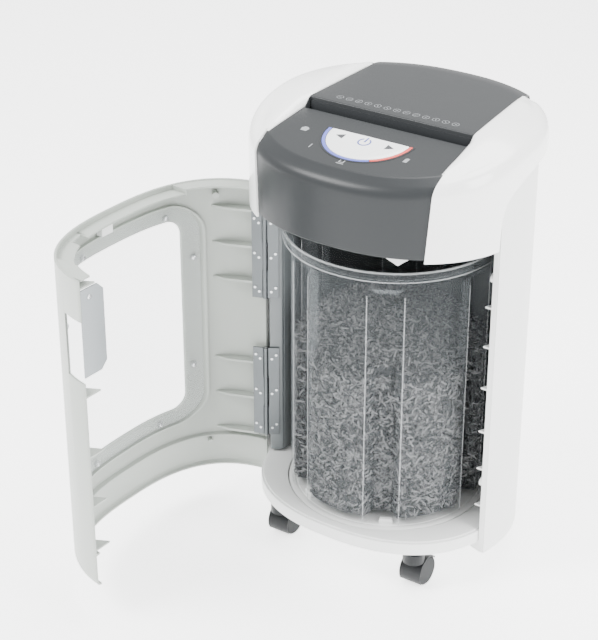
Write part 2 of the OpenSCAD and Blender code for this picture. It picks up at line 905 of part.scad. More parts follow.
module castor_hood(p) {
    hub_y = p[1] + trail;
    color("black")
    difference() {
        union() {
            // web between the wheels
            translate([p[0] - 4, 0, 0]) rotate([90, 0, 90]) linear_extrude(height = 8)
                union() {
                    translate([hub_y, wheel_r]) circle(r = 10, $fn = 32);
                    polygon([[p[1] - 8, 46], [p[1] + 8, 46], [hub_y + 9, 24], [hub_y - 9, 16]]);
                }
            // shell over the front and top of the wheels
            intersection() {
                translate([p[0] - 16, hub_y, wheel_r]) rotate([0, 90, 0])
                    difference() {
                        cylinder(h = 32, r = wheel_r + 2, $fn = round_fn);
                        translate([0, 0, -1]) cylinder(h = 34, r = wheel_r + 0.6, $fn = round_fn);
                    }
                translate([p[0], 0, 0]) rotate([90, 0, 90]) linear_extrude(height = 40, center = true)
                    polygon([
                        [hub_y - 30, 8], [hub_y - 12, 8], [hub_y, 20], [hub_y + 20, 34],
                        [hub_y + 20, 60], [hub_y - 30, 60],
                    ]);
            }
            translate([p[0], p[1], 39]) cylinder(h = 15, r = 15, $fn = 48);
            translate([p[0], p[1], 53]) cylinder(h = 21, r = stem_r - fit, $fn = 48);
            translate([p[0], p[1], 53]) cylinder(h = base_bottom - 53.3, r = 7, $fn = 48);
        }
        translate([p[0] - 20, hub_y, wheel_r]) rotate([0, 90, 0])
            cylinder(h = 40, r = castor_axle_r + fit, $fn = 48);
        for (s = [-1, 1])
            translate([p[0] + (s > 0 ? 4 : -17.5), hub_y, wheel_r]) rotate([0, 90, 0])
                cylinder(h = 13.5, r = wheel_r + 0.6, $fn = round_fn);
    }
}

module castor_wheels(p) {
    color("darkslategray")
    translate([p[0], p[1] + trail, wheel_r]) rotate([0, 90, 0])
        union() {
            cylinder(h = 30, r = castor_axle_r, center = true, $fn = 48);
            for (s = [-1, 1])
                translate([0, 0, s * 10.5]) rotate_extrude($fn = round_fn)
                    polygon([
                        [0, -5], [wheel_r - 1.5, -5], [wheel_r, -3.5], [wheel_r, 3.5], [wheel_r - 1.5, 5], [0, 5],
                    ]);
        }
}

function castor_spot(front, side) =
    let (p = front ? castor_front : castor_rear) [side * p[0], p[1]];

base_plate();
bin_stand();
side_panel_left();
side_panel_right();
back_panel();
hinge_column();
head_chassis();
head_shell();
head_cover_left();
head_cover_right();
feed_throat();
control_panel();
status_ring_blue();
status_ring_red();
control_board();
interlock_switch();
cutter_plate_left();
cutter_plate_right();
tie_rods();
cutter_bearings();
stripper_combs();
drive_motor();
gear_stub();
body_hinge_leaves();
hinge_pins();
body_hinge_screws();
mains_inlet();
switch_frame();
cutter_front();
cutter_rear();
intermediate_gear();
motor_pinion();
mains_rocker();
door_shell();
door_window();
window_screws();
grip_plate();
grip_screw();
door_hinge_leaves();
door_hinge_screws();
interlock_striker();
waste_bin();
paper_clippings();
castor_hood(castor_spot(true, -1));  // castor_hood_front_left
castor_hood(castor_spot(true, 1));  // castor_hood_front_right
castor_hood(castor_spot(false, -1));  // castor_hood_rear_left
castor_hood(castor_spot(false, 1));  // castor_hood_rear_right
castor_wheels(castor_spot(true, -1));  // castor_wheels_front_left
castor_wheels(castor_spot(true, 1));  // castor_wheels_front_right
castor_wheels(castor_spot(false, -1));  // castor_wheels_rear_left
castor_wheels(castor_spot(false, 1));  // castor_wheels_rear_right
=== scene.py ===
# Looks of the cabinet paper shredder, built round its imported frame.
# Lengths inside the functions are millimetres, turned to metres when a mesh is made.

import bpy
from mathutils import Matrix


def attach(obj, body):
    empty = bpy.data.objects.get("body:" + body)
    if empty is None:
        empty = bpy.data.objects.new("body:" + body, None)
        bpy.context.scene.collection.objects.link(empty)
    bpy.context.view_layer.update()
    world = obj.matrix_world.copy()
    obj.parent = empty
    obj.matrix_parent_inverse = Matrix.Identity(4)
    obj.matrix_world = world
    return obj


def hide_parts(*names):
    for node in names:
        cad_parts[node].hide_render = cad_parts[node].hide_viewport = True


bl_info = {
    "name": "Paper Shredder",
    "version": (1, 0, 0),
    "blender": (4, 5, 0),
    "location": "View3D > Sidebar > Shredder",
    "description": "Builds the visible pieces of a cabinet paper shredder on its packed frame",
    "category": "Add Mesh",
}

import math

import bpy
import bmesh
import numpy as np
from mathutils import Matrix, Vector

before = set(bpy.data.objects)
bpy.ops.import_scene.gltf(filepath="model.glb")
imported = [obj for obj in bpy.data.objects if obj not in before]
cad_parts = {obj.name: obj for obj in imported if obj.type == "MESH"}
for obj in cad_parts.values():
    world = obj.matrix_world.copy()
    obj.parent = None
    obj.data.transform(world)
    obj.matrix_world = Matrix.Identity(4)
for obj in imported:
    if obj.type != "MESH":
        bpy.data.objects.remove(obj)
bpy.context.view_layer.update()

HINGE = (-171.3, -47.4)
DOOR_ANGLE = -93.0


# ---- properties ----


def length(name, text, value):
    """A length property, shown in the scene's units and kept in metres."""
    return bpy.props.FloatProperty(
        name=name, description=text, default=value / 1000, unit="LENGTH", precision=4
    )


def tint(name, text, value):
    """A colour property."""
    return bpy.props.FloatVectorProperty(
        name=name, description=text, default=value, subtype="COLOR", size=3, min=0, max=1
    )


class ShredderSizes(bpy.types.PropertyGroup):
    """Sizes of the visible pieces."""

    head_half: length("Head half width", "Half the width of the machine head", 184)
    head_front: length("Head front", "Depth of the head in front of the bin's axis", 163)
    head_rear: length("Head rear", "Depth of the head behind the bin's axis", 168)
    fascia_low: length("Fascia bottom", "Lower edge of the grey fascia", 494)
    panel_radius: length("Control radius", "Radius of the half-round control panel", 61)
    slot_half: length("Slot half length", "Half the length of the paper slot", 118)
    rim_width: length("Rim width", "Distance from the head's outline to the crease of its top", 18)
    door_top: length("Door top", "Top edge of the door", 490)
    door_low: length("Door bottom", "Lower edge of the door", 50)
    bin_radius: length("Bin radius", "Radius of the bin's body", 134)
    rim_radius: length("Rim radius", "Radius of the bin's rim", 145)
    bin_top: length("Bin top", "Top of the bin's rim", 460)
    flute_depth: length("Flute depth", "Depth of the bin's six flutes", 19)
    heap_top: length("Heap top", "Height of the heap of clippings", 355)
    stand_top: length("Stand top", "Top of the bin stand", 80)
    clip_length: length("Clipping length", "Length of one clipping", 12)
    clip_width: length("Clipping width", "Width of one clipping", 2.1)


class ShredderColours(bpy.types.PropertyGroup):
    """Colours of the visible finishes."""

    cover_white: tint("Cover white", "Gloss white of the covers", (0.88, 0.885, 0.875))
    cabinet_white: tint("Cabinet white", "Satin white of the cabinet and door", (0.72, 0.73, 0.72))
    door_white: tint("Door white", "Greenish white of the door", (0.34, 0.365, 0.335))
    head_grey: tint("Head grey", "Satin grey of the head", (0.020, 0.022, 0.0235))
    slot_grey: tint("Slot grey", "Dark grey inside the slot", (0.022, 0.024, 0.026))
    column_grey: tint("Hinge grey", "Blue grey of the hinge column", (0.15, 0.165, 0.17))
    steel_grey: tint("Leaf grey", "Satin zinc of the hinge leaves", (0.12, 0.13, 0.135))
    light_blue: tint("Light blue", "Blue status light", (0.09, 0.11, 0.42))
    light_red: tint("Light red", "Red status light", (0.55, 0.05, 0.04))
    clear_tint: tint("Clear tint", "Tint of the clear plastics", (0.42, 0.46, 0.48))
    paper: tint("Paper", "Lightest clippings", (0.17, 0.173, 0.176))
    castor: tint("Castor", "Nylon of the castors", (0.008, 0.009, 0.010))


def size(name):
    """A size from the panel, in millimetres."""
    return getattr(bpy.context.scene.shredder_sizes, name) * 1000


def colour(name):
    """A colour from the panel, with full alpha."""
    return tuple(getattr(bpy.context.scene.shredder_colours, name)) + (1.0,)


# ---- materials ----


def new_material(name):
    """An empty node material with its shader."""
    mat = bpy.data.materials.new(name)
    mat.use_nodes = True
    return mat, mat.node_tree, mat.node_tree.nodes["Principled BSDF"]


def add_node(tree, kind, **inputs):
    """Adds a node and sets the named inputs."""
    n = tree.nodes.new(kind)
    for k, v in inputs.items():
        n.inputs[k.replace("_", " ")].default_value = v
    return n


def noise(tree, scale, detail=3.0, rough=0.55, stretch=None):
    """A noise texture in object space, with an optional stretch."""
    co = tree.nodes.new("ShaderNodeTexCoord")
    src = co.outputs["Object"]
    if stretch:
        mp = tree.nodes.new("ShaderNodeMapping")
        mp.inputs["Scale"].default_value = stretch
        tree.links.new(src, mp.inputs["Vector"])
        src = mp.outputs["Vector"]
    n = add_node(tree, "ShaderNodeTexNoise", Scale=scale, Detail=detail, Roughness=rough)
    tree.links.new(src, n.inputs["Vector"])
    return n


def ramp(tree, source, stops):
    """A colour ramp fed by a value."""
    r = tree.nodes.new("ShaderNodeValToRGB")
    el = r.color_ramp.elements
    while len(el) < len(stops):
        el.new(0.5)
    for e, (p, c) in zip(el, stops):
        e.position = p
        e.color = c
    tree.links.new(source, r.inputs["Fac"])
    return r


def shade(c, k):
    """A colour made lighter or darker."""
    return tuple(min(1.0, v * k) for v in c[:3]) + (1.0,)


def moulded(
    name, base, rough=0.4, grain=900.0, bump=0.05, spread=0.06, coat=0.0, sparkle=0.0, stretch=None,
    shine=0.5
):
    """Moulded or painted finish: slow colour drift, fine grain in the bump and uneven gloss."""
    mat, tree, bsdf = new_material(name)
    drift = noise(tree, 9.0, 4.0)
    mix = ramp(tree, drift.outputs["Fac"], [(0.3, shade(base, 1 - spread)), (0.7, shade(base, 1 + spread))])
    last = mix.outputs["Color"]
    if sparkle:
        dots = noise(tree, 2600.0, 1.0)
        spots = ramp(tree, dots.outputs["Fac"], [(0.60, (0, 0, 0, 1)), (0.72, (sparkle,) * 3 + (1,))])
        add = tree.nodes.new("ShaderNodeMixRGB")
        add.blend_type = "ADD"
        add.inputs["Fac"].default_value = 1.0
        tree.links.new(last, add.inputs["Color1"])
        tree.links.new(spots.outputs["Color"], add.inputs["Color2"])
        last = add.outputs["Color"]
    tree.links.new(last, bsdf.inputs["Base Color"])
    fine = noise(tree, grain, 2.0, 0.5, stretch)
    gloss = ramp(
        tree, drift.outputs["Fac"], [
            (0.2, (rough * 0.85,) * 3 + (1,)), (0.8, (min(1, rough * 1.15),) * 3 + (1,))
        ]
    )
    tree.links.new(gloss.outputs["Color"], bsdf.inputs["Roughness"])
    bmp = add_node(tree, "ShaderNodeBump", Strength=bump, Distance=0.0006)
    tree.links.new(fine.outputs["Fac"], bmp.inputs["Height"])
    tree.links.new(bmp.outputs["Normal"], bsdf.inputs["Normal"])
    bsdf.inputs["Coat Weight"].default_value = coat
    bsdf.inputs["Coat Roughness"].default_value = 0.12
    bsdf.inputs["Specular IOR Level"].default_value = shine
    return mat


def metal(name, base, rough=0.35, brush=(1, 1, 40), bump=0.06):
    """Steel with brush lines and cloudy zinc."""
    mat = moulded(name, base, rough, 220.0, bump, 0.14, 0.0, 0.0, brush)
    mat.node_tree.nodes["Principled BSDF"].inputs["Metallic"].default_value = 0.85
    return mat


def clear(name, base, low=0.08, high=0.75, rough=0.08, shine=0.4):
    """Clear moulded plastic: thin to look through head on, denser towards its edges where the wall is seen
    edge-on, and brighter there with a painted reflection.
    """
    mat, tree, bsdf = new_material(name)
    wt = add_node(tree, "ShaderNodeLayerWeight", Blend=0.35)
    cloud = noise(tree, 14.0, 3.0)
    tone = ramp(tree, cloud.outputs["Fac"], [(0.3, shade(base, 0.92)), (0.7, shade(base, 1.06))])
    tree.links.new(tone.outputs["Color"], bsdf.inputs["Base Color"])
    # opacity rises at grazing angles; the light colour it shows there is a painted reflection
    edge = ramp(
        tree, wt.outputs["Facing"],
        [(0.0, (low,) * 3 + (1,)), (0.55, (low * 1.6,) * 3 + (1,)), (1.0, (high,) * 3 + (1,))],
    )
    tree.links.new(edge.outputs["Color"], bsdf.inputs["Alpha"])
    wave = noise(tree, 30.0, 2.0, 0.5, (1, 1, 0.25))
    bmp = add_node(tree, "ShaderNodeBump", Strength=0.12, Distance=0.002)
    tree.links.new(wave.outputs["Fac"], bmp.inputs["Height"])
    tree.links.new(bmp.outputs["Normal"], bsdf.inputs["Normal"])
    bsdf.inputs["Roughness"].default_value = rough
    bsdf.inputs["Specular IOR Level"].default_value = shine
    return mat


def light_guide(name, base, glow, spread=0.08):
    """A surface that also gives light, for the light guides and the bright studio floor."""
    mat = moulded(name, base, 0.4, 500.0, 0.03, spread)
    bsdf = mat.node_tree.nodes["Principled BSDF"]
    bsdf.inputs["Emission Color"].default_value = base
    bsdf.inputs["Emission Strength"].default_value = glow
    return mat


def paper_material(name):
    """Cut paper: each clipping has its own tone, with soft fibre grain."""
    mat, tree, bsdf = new_material(name)
    tone = tree.nodes.new("ShaderNodeAttribute")
    tone.attribute_name = "tone"
    fibre = noise(tree, 700.0, 3.0)
    soft = ramp(tree, fibre.outputs["Fac"], [(0.2, (0.82, 0.82, 0.82, 1)), (0.8, (1, 1, 1, 1))])
    mix = tree.nodes.new("ShaderNodeMixRGB")
    mix.blend_type = "MULTIPLY"
    mix.inputs["Fac"].default_value = 1.0
    tree.links.new(tone.outputs["Color"], mix.inputs["Color1"])
    tree.links.new(soft.outputs["Color"], mix.inputs["Color2"])
    tree.links.new(mix.outputs["Color"], bsdf.inputs["Base Color"])
    bmp = add_node(tree, "ShaderNodeBump", Strength=0.2, Distance=0.0004)
    tree.links.new(fibre.outputs["Fac"], bmp.inputs["Height"])
    tree.links.new(bmp.outputs["Normal"], bsdf.inputs["Normal"])
    bsdf.inputs["Roughness"].default_value = 0.85
    return mat


def packed_paper(name):
    """The heap's body: crossing light slivers of paper over painted deep shade."""
    mat, tree, bsdf = new_material(name)
    total = None
    for k, turn in enumerate(((0, 0, 0), (0.9, 0.3, 0.5), (0.2, 1.1, 0.9))):
        co = tree.nodes.new("ShaderNodeTexCoord")
        mp = tree.nodes.new("ShaderNodeMapping")
        mp.inputs["Rotation"].default_value = turn
        mp.inputs["Scale"].default_value = (1, 1, 0.3)
        tree.links.new(co.outputs["Object"], mp.inputs["Vector"])
        cells = add_node(tree, "ShaderNodeTexVoronoi", Scale=330.0 + 60 * k)
        tree.links.new(mp.outputs["Vector"], cells.inputs["Vector"])
        # each ramp runs from near black, painted shade between the slivers, to a dim grey sliver of paper
        sliver = ramp(
            tree, cells.outputs["Color"], [(0.5, (0.003, 0.003, 0.0035, 1)), (0.9, (0.05, 0.052, 0.054, 1))]
        )
        if total is None:
            total = sliver
            continue
        mix = tree.nodes.new("ShaderNodeMixRGB")
        mix.blend_type = "LIGHTEN"
        mix.inputs["Fac"].default_value = 1.0
        tree.links.new(total.outputs["Color"], mix.inputs["Color1"])
        tree.links.new(sliver.outputs["Color"], mix.inputs["Color2"])
        total = mix
    tree.links.new(total.outputs["Color"], bsdf.inputs["Base Color"])
    bmp = add_node(tree, "ShaderNodeBump", Strength=0.6, Distance=0.002)
    tree.links.new(total.outputs["Color"], bmp.inputs["Height"])
    tree.links.new(bmp.outputs["Normal"], bsdf.inputs["Normal"])
    bsdf.inputs["Roughness"].default_value = 0.9
    bsdf.inputs["Specular IOR Level"].default_value = 0.1
    return mat


MATERIALS = {}


def finish(name):
    """The named finish, made once."""
    if name in MATERIALS:
        return MATERIALS[name]
    makers = {
        "cover_white": lambda: moulded("cover_white", colour("cover_white"), 0.22, 1500, 0.02, 0.015, 0.5),
        "cabinet_white": lambda: moulded(
            "cabinet_white", colour("cabinet_white"), 0.42, 1200, 0.05, 0.03, 0.1
        ),
        "door_white": lambda: moulded("door_white", colour("door_white"), 0.42, 1200, 0.05, 0.03, 0.1),
        "head_grey": lambda: moulded(
            "head_grey", colour("head_grey"), 0.33, 1600, 0.05, 0.03, 0.0, 0.004, None, 0.22
        ),
        "throat_grey": lambda: moulded("throat_grey", colour("slot_grey"), 0.45, 900, 0.06, 0.06, shine=0.2),
        "control_white": lambda: moulded("control_white", (0.78, 0.79, 0.79, 1), 0.25, 800, 0.01, 0.02, 0.3),
        "icon_grey": lambda: moulded("icon_grey", (0.035, 0.037, 0.042, 1), 0.5, 1500, 0.03, 0.05),
        "icon_faint": lambda: moulded("icon_faint", (0.24, 0.25, 0.26, 1), 0.5, 1500, 0.03, 0.05),
        "icon_blue": lambda: moulded("icon_blue", (0.04, 0.06, 0.30, 1), 0.4, 1500, 0.02, 0.05),
        "status_blue": lambda: light_guide("status_blue", colour("light_blue"), 0.25),
        "status_red": lambda: light_guide("status_red", colour("light_red"), 0.25),
        "column_grey": lambda: moulded("column_grey", colour("column_grey"), 0.42, 900, 0.06, 0.05, 0.1),
        "hinge_steel": lambda: metal("hinge_steel", colour("steel_grey"), 0.42, (1, 1, 0.1), 0.05),
        "screw_steel": lambda: metal("screw_steel", (0.55, 0.56, 0.57, 1), 0.28),
        "plate_steel": lambda: metal("plate_steel", (0.45, 0.46, 0.47, 1), 0.35, (1, 30, 1)),
        "cutter_steel": lambda: metal("cutter_steel", (0.25, 0.25, 0.26, 1), 0.3, (40, 1, 1)),
        "bronze": lambda: metal("bronze", (0.45, 0.26, 0.10, 1), 0.35),
        "motor_enamel": lambda: moulded("motor_enamel", (0.05, 0.07, 0.09, 1), 0.3, 300, 0.08, 0.1, 0.3),
        "gear_nylon": lambda: moulded("gear_nylon", (0.62, 0.58, 0.46, 1), 0.5, 600, 0.05, 0.05),
        "board_green": lambda: moulded("board_green", (0.02, 0.11, 0.04, 1), 0.35, 200, 0.2, 0.2, 0.3),
        "chassis_black": lambda: moulded(
            "chassis_black", (0.018, 0.019, 0.02, 1), 0.55, 700, 0.12, 0.12, shine=0.2
        ),
        "rocker_black": lambda: moulded("rocker_black", (0.02, 0.02, 0.022, 1), 0.2, 700, 0.03, 0.05, 0.5),
        "castor_black": lambda: moulded(
            "castor_black", colour("castor"), 0.35, 800, 0.08, 0.1, 0.0, shine=0.25
        ),
        "castor_wheel": lambda: moulded(
            "castor_wheel", (0.02, 0.021, 0.022, 1), 0.6, 500, 0.15, 0.12, shine=0.2
        ),
        "grip_blue_grey": lambda: moulded("grip_blue_grey", (0.24, 0.26, 0.27, 1), 0.4, 900, 0.05, 0.03),
        "window_clear": lambda: clear("window_clear", (0.50, 0.54, 0.56, 1), 0.07, 0.5, 0.10, 0.3),
        "bin_clear": lambda: clear("bin_clear", colour("clear_tint"), 0.03, 0.45, 0.05, 0.25),
        # lighter clear finish: dense clear for the window posts, and painted highlight lines on the bin
        "bin_edge": lambda: clear("bin_edge", (0.60, 0.62, 0.63, 1), 0.20, 0.8, 0.12, 0.4),
        # near-black sheet of painted shade for the inside of the cabinet under the head
        "lining_grey": lambda: moulded(
            "lining_grey", (0.022, 0.024, 0.026, 1), 0.6, 500, 0.08, 0.12, shine=0.15
        ),
        "packed_paper": lambda: packed_paper("packed_paper"),
        "shredded_paper": lambda: paper_material("shredded_paper"),
        "floor_pale": lambda: light_guide("floor_pale", (0.93, 0.93, 0.93, 1), 2.4, 0.004),
    }
    MATERIALS[name] = makers[name]()
    return MATERIALS[name]


# ---- mesh tools ----


def keep_sharp(me, angle=32.0):
    """Smooth shading that breaks at real edges."""
    me.shade_smooth()
    me.set_sharp_from_angle(angle=math.radians(angle))


def make(name, verts, faces, look, body, slot=None, nodes=(), angle=32.0, opened=False, bevel=0.0):
    """Makes one piece from points in millimetres and puts it on its body."""
    v = np.asarray(verts, float).reshape(-1, 3)
    if opened:
        v = open_door(v)
    me = bpy.data.meshes.new(name)
    me.from_pydata((v / 1000).tolist(), [], [tuple(int(i) for i in f) for f in faces])
    me.validate()
    bm = bmesh.new()
    bm.from_mesh(me)
    bmesh.ops.remove_doubles(bm, verts=bm.verts, dist=1e-6)
    bmesh.ops.recalc_face_normals(bm, faces=bm.faces)
    if bevel:
        sharp = [e for e in bm.edges if len(e.link_faces) == 2 and e.calc_face_angle(0) > math.radians(40)]
        bmesh.ops.bevel(
            bm, geom=sharp, offset=bevel / 1000, segments=2, profile=0.6, affect="EDGES", clamp_overlap=True
        )
    bm.to_mesh(me)
    bm.free()
    me.materials.append(finish(look))
    keep_sharp(me, angle)
    ob = bpy.data.objects.new(name, me)
    bpy.context.scene.collection.objects.link(ob)
    if body:
        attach(ob, body)
    if nodes:
        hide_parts(*nodes)
    return ob


def join_data(parts):
    """Joins (points, faces) pairs into one."""
    vs, fs, k = [], [], 0
    for v, f in parts:
        v = np.asarray(v, float).reshape(-1, 3)
        vs.append(v)
        fs += [tuple(i + k for i in face) for face in f]
        k += len(v)
    return np.concatenate(vs), fs


def grid_faces(r, c, wrap_r=False, wrap_c=False, start=0, flip=False):
    """Quads of an r by c grid of points."""
    out = []
    for i in range(r if wrap_r else r - 1):
        for j in range(c if wrap_c else c - 1):
            a = i * c + j
            b = i * c + (j + 1) % c
            d = ((i + 1) % r) * c + j
            e = ((i + 1) % r) * c + (j + 1) % c
            q = (a, b, e, d)
            out.append(tuple(start + k for k in (q[::-1] if flip else q)))
    return out


def grid_normals(p, wrap_c=False):
    """Unit normals of a grid of points, (rows, columns, 3)."""
    if wrap_c:
        q = np.concatenate([p[:, -1:], p, p[:, :1]], 1)
        du = (q[:, 2:] - q[:, :-2]) / 2
    else:
        du = np.gradient(p, axis=1)
    dv = np.gradient(p, axis=0)
    n = np.cross(du, dv)
    ln = np.linalg.norm(n, axis=2, keepdims=True)
    return n / np.maximum(ln, 1e-9)


def shell(p, thick, wrap_c=False):
    """A closed sheet: the grid, the same grid pushed in by a thickness, and the edges between."""
    r, c = p.shape[:2]
    q = p - grid_normals(p, wrap_c) * thick
    k = r * c
    faces = grid_faces(r, c, False, wrap_c) + grid_faces(r, c, False, wrap_c, k, True)
    for j in range(c if wrap_c else c - 1):
        j2 = (j + 1) % c
        faces.append((j2, j, k + j, k + j2))
        a = (r - 1) * c
        faces.append((a + j, a + j2, k + a + j2, k + a + j))
    if not wrap_c:
        for i in range(r - 1):
            a, b = i * c, (i + 1) * c
            faces.append((a, b, k + b, k + a))
            faces.append((b + c - 1, a + c - 1, k + a + c - 1, k + b + c - 1))
    return np.concatenate([p.reshape(-1, 3), q.reshape(-1, 3)]), faces


def soft_path(points, cuts, steps=6, between=1):
    """Rows of points through corners rounded by their cuts. points is (corners, columns, 3)."""
    pts = [np.asarray(q, float) for q in points]
    rows = [pts[0]]
    for k in range(1, len(pts)):
        prev, here = pts[k - 1], pts[k]
        if k == len(pts) - 1:
            end, arc = here, []
        else:
            nxt = pts[k + 1]
            la = np.linalg.norm(here - prev, axis=-1, keepdims=True)
            lb = np.linalg.norm(nxt - here, axis=-1, keepdims=True)
            cut = np.minimum(cuts[k], np.minimum(la, lb) * 0.45)
            end = here + (prev - here) / np.maximum(la, 1e-9) * cut
            out = here + (nxt - here) / np.maximum(lb, 1e-9) * cut
            arc = []
            for s in np.linspace(0, 1, steps + 1)[1:]:
                arc.append((1 - s) ** 2 * end + 2 * s * (1 - s) * here + s * s * out)
        last = rows[-1]
        m = between[k - 1] if isinstance(between, (list, tuple)) else between
        for s in np.linspace(0, 1, m + 1)[1:]:
            rows.append(last + (end - last) * s)
        rows += arc
    return np.array(rows)


def section_sweep(points, wrap=False):
    """A closed cross-section carried along a path. points is (stations, section, 3); the ends are capped."""
    n, m = points.shape[:2]
    faces = grid_faces(n, m, wrap, True)
    if not wrap:
        faces.append(tuple(range(m))[::-1])
        faces.append(tuple((n - 1) * m + i for i in range(m)))
    return points.reshape(-1, 3), faces


def prism(outline, offset):
    """A flat outline of 3D points pushed along an offset."""
    a = np.asarray(outline, float)
    n = len(a)
    v = np.concatenate([a, a + np.asarray(offset, float)])
    faces = [tuple(range(n))[::-1], tuple(range(n, 2 * n))]
    faces += [(i, (i + 1) % n, n + (i + 1) % n, n + i) for i in range(n)]
    return v, faces


def turned(profile, origin, axis, steps=32, start=0.0):
    """A profile of (radius, height) turned about an axis through origin. Radii of 0 close the ends."""
    z = Vector(axis).normalized()
    x = z.orthogonal().normalized()
    y = z.cross(x)
    x, y, z = (np.array(w) for w in (x, y, z))
    a = np.linspace(0, 2 * math.pi, steps, endpoint=False) + start
    rows = [
        np.array(origin) + z * h + np.outer(np.cos(a) * r, x) + np.outer(np.sin(a) * r, y)
        for r, h in profile
    ]
    p = np.array(rows)
    v, f = p.reshape(-1, 3), grid_faces(len(profile), steps, False, True)
    f.append(tuple(range(steps))[::-1])
    f.append(tuple((len(profile) - 1) * steps + i for i in range(steps)))
    return v, f


def screw_head(origin, axis, r=3.0, h=1.4):
    """A domed screw head with a round recess."""
    prof = [
        (r, 0), (r, h * 0.45), (r * 0.9, h * 0.75), (r * 0.6, h), (r * 0.42, h), (r * 0.30, h * 0.35),
        (r * 0.05, h * 0.3)
    ]
    return turned(prof, origin, axis, 24)


def cut_away(ob, cutter_data):
    """Takes a closed mesh, given as points and faces, away from a piece."""
    v, f = cutter_data
    me = bpy.data.meshes.new("cutter")
    me.from_pydata((np.asarray(v) / 1000).tolist(), [], [tuple(int(i) for i in q) for q in f])
    bm = bmesh.new()
    bm.from_mesh(me)
    bmesh.ops.recalc_face_normals(bm, faces=bm.faces)
    bm.to_mesh(me)
    bm.free()
    tool = bpy.data.objects.new("cutter", me)
    bpy.context.scene.collection.objects.link(tool)
    mod = ob.modifiers.new("cut", "BOOLEAN")
    mod.object = tool
    mod.solver = "EXACT"
    bake_modifiers(ob)
    bpy.data.objects.remove(tool)


def bake_modifiers(ob):
    """Applies every modifier of a piece."""
    dg = bpy.context.evaluated_depsgraph_get()
    dg.update()
    me = bpy.data.meshes.new_from_object(ob.evaluated_get(dg))
    ob.modifiers.clear()
    ob.data = me
    keep_sharp(me)


# ---- shared shapes ----


def oval(t, a, front, rear, n_rear=2.3, n_front=2.3):
    """Points of a squared oval at angles in radians."""
    c, s = np.cos(t), np.sin(t)
    n = np.where(s < 0, n_front, n_rear)
    b = np.where(s < 0, front, rear)
    return a * np.sign(c) * np.abs(c) ** (2 / n), b * np.sign(s) * np.abs(s) ** (2 / n)


def front_y(x, inset=0.0, power=2.3):
    """The head's front face at a distance to the side."""
    a, b = size("head_half") - inset, size("head_front") - inset
    return -b * np.maximum(1 - (np.abs(x) / a) ** power, 0) ** (1 / power)


def door_y(x, inset=0.0):
    """The closed door's face, a little squarer than the head's."""
    return front_y(x, inset, 2.7)


def rear_y(x, inset=0.0):
    """The head's back at a distance to the side."""
    a, b = size("head_half") - inset, size("head_rear") - inset
    return b * np.maximum(1 - (np.abs(x) / a) ** 2.3, 0) ** (1 / 2.3)


DECK_Y = [-180, -146, -31, -18, 148, 178]
DECK_Z = [587, 591, 606, 617, 621, 621]


def deck_z(y):
    """Height of the head's top along its depth."""
    return np.interp(y, DECK_Y, DECK_Z)


def cover_z(y):
    """Height of the covers' top: the deck's two slopes blended without the step at the slot."""
    y = np.asarray(y, float)
    w = np.clip((y + 80) / 120, 0, 1)
    w = 3 * w**2 - 2 * w**3
    rear = 617 + (y + 18) * 0.024
    return (591 + (y + 146) * 0.1304) * (1 - w) + rear * w


def zone_half(y, z):
    """Half width of the grey middle of the head."""
    return np.minimum(130 - (y + 172) * 0.06, 119.5 + (z - 484) * 0.0609)


COVER_Y = [-44, -30, -6, 22, 60, 220]
COVER_Z = [551, 563, 573, 579, 582, 582]


def cover_low(y):
    """Lower edge of a white cover."""
    low = np.interp(y, [-50] + COVER_Y, [532] + COVER_Z)
    return np.where(np.asarray(y) < -50, 491.0, low)


def open_door(v):
    """Turns points drawn with the door closed to where the open door has them."""
    a = math.radians(DOOR_ANGLE)
    c, s = math.cos(a), math.sin(a)
    w = np.array(v, float)
    dx, dy = w[:, 0] - HINGE[0], w[:, 1] - HINGE[1]
    w[:, 0] = HINGE[0] + c * dx - s * dy
    w[:, 1] = HINGE[1] + s * dx + c * dy
    return w


def repaint(look, *names):
    """Gives CAD nodes that stay a finish of their own."""
    for n in names:
        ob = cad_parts[n]
        mat = finish(look)
        if not ob.data.materials:
            ob.data.materials.append(mat)
        for k in range(len(ob.data.materials)):
            ob.data.materials[k] = mat


def soften(width, *names):
    """Breaks the sharp edges of CAD nodes that stay."""
    for n in names:
        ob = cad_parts[n]
        mod = ob.modifiers.new("soft edges", "BEVEL")
        mod.width = width / 1000
        mod.segments = 2
        mod.limit_method = "ANGLE"
        mod.angle_limit = math.radians(50)


# ---- head ----


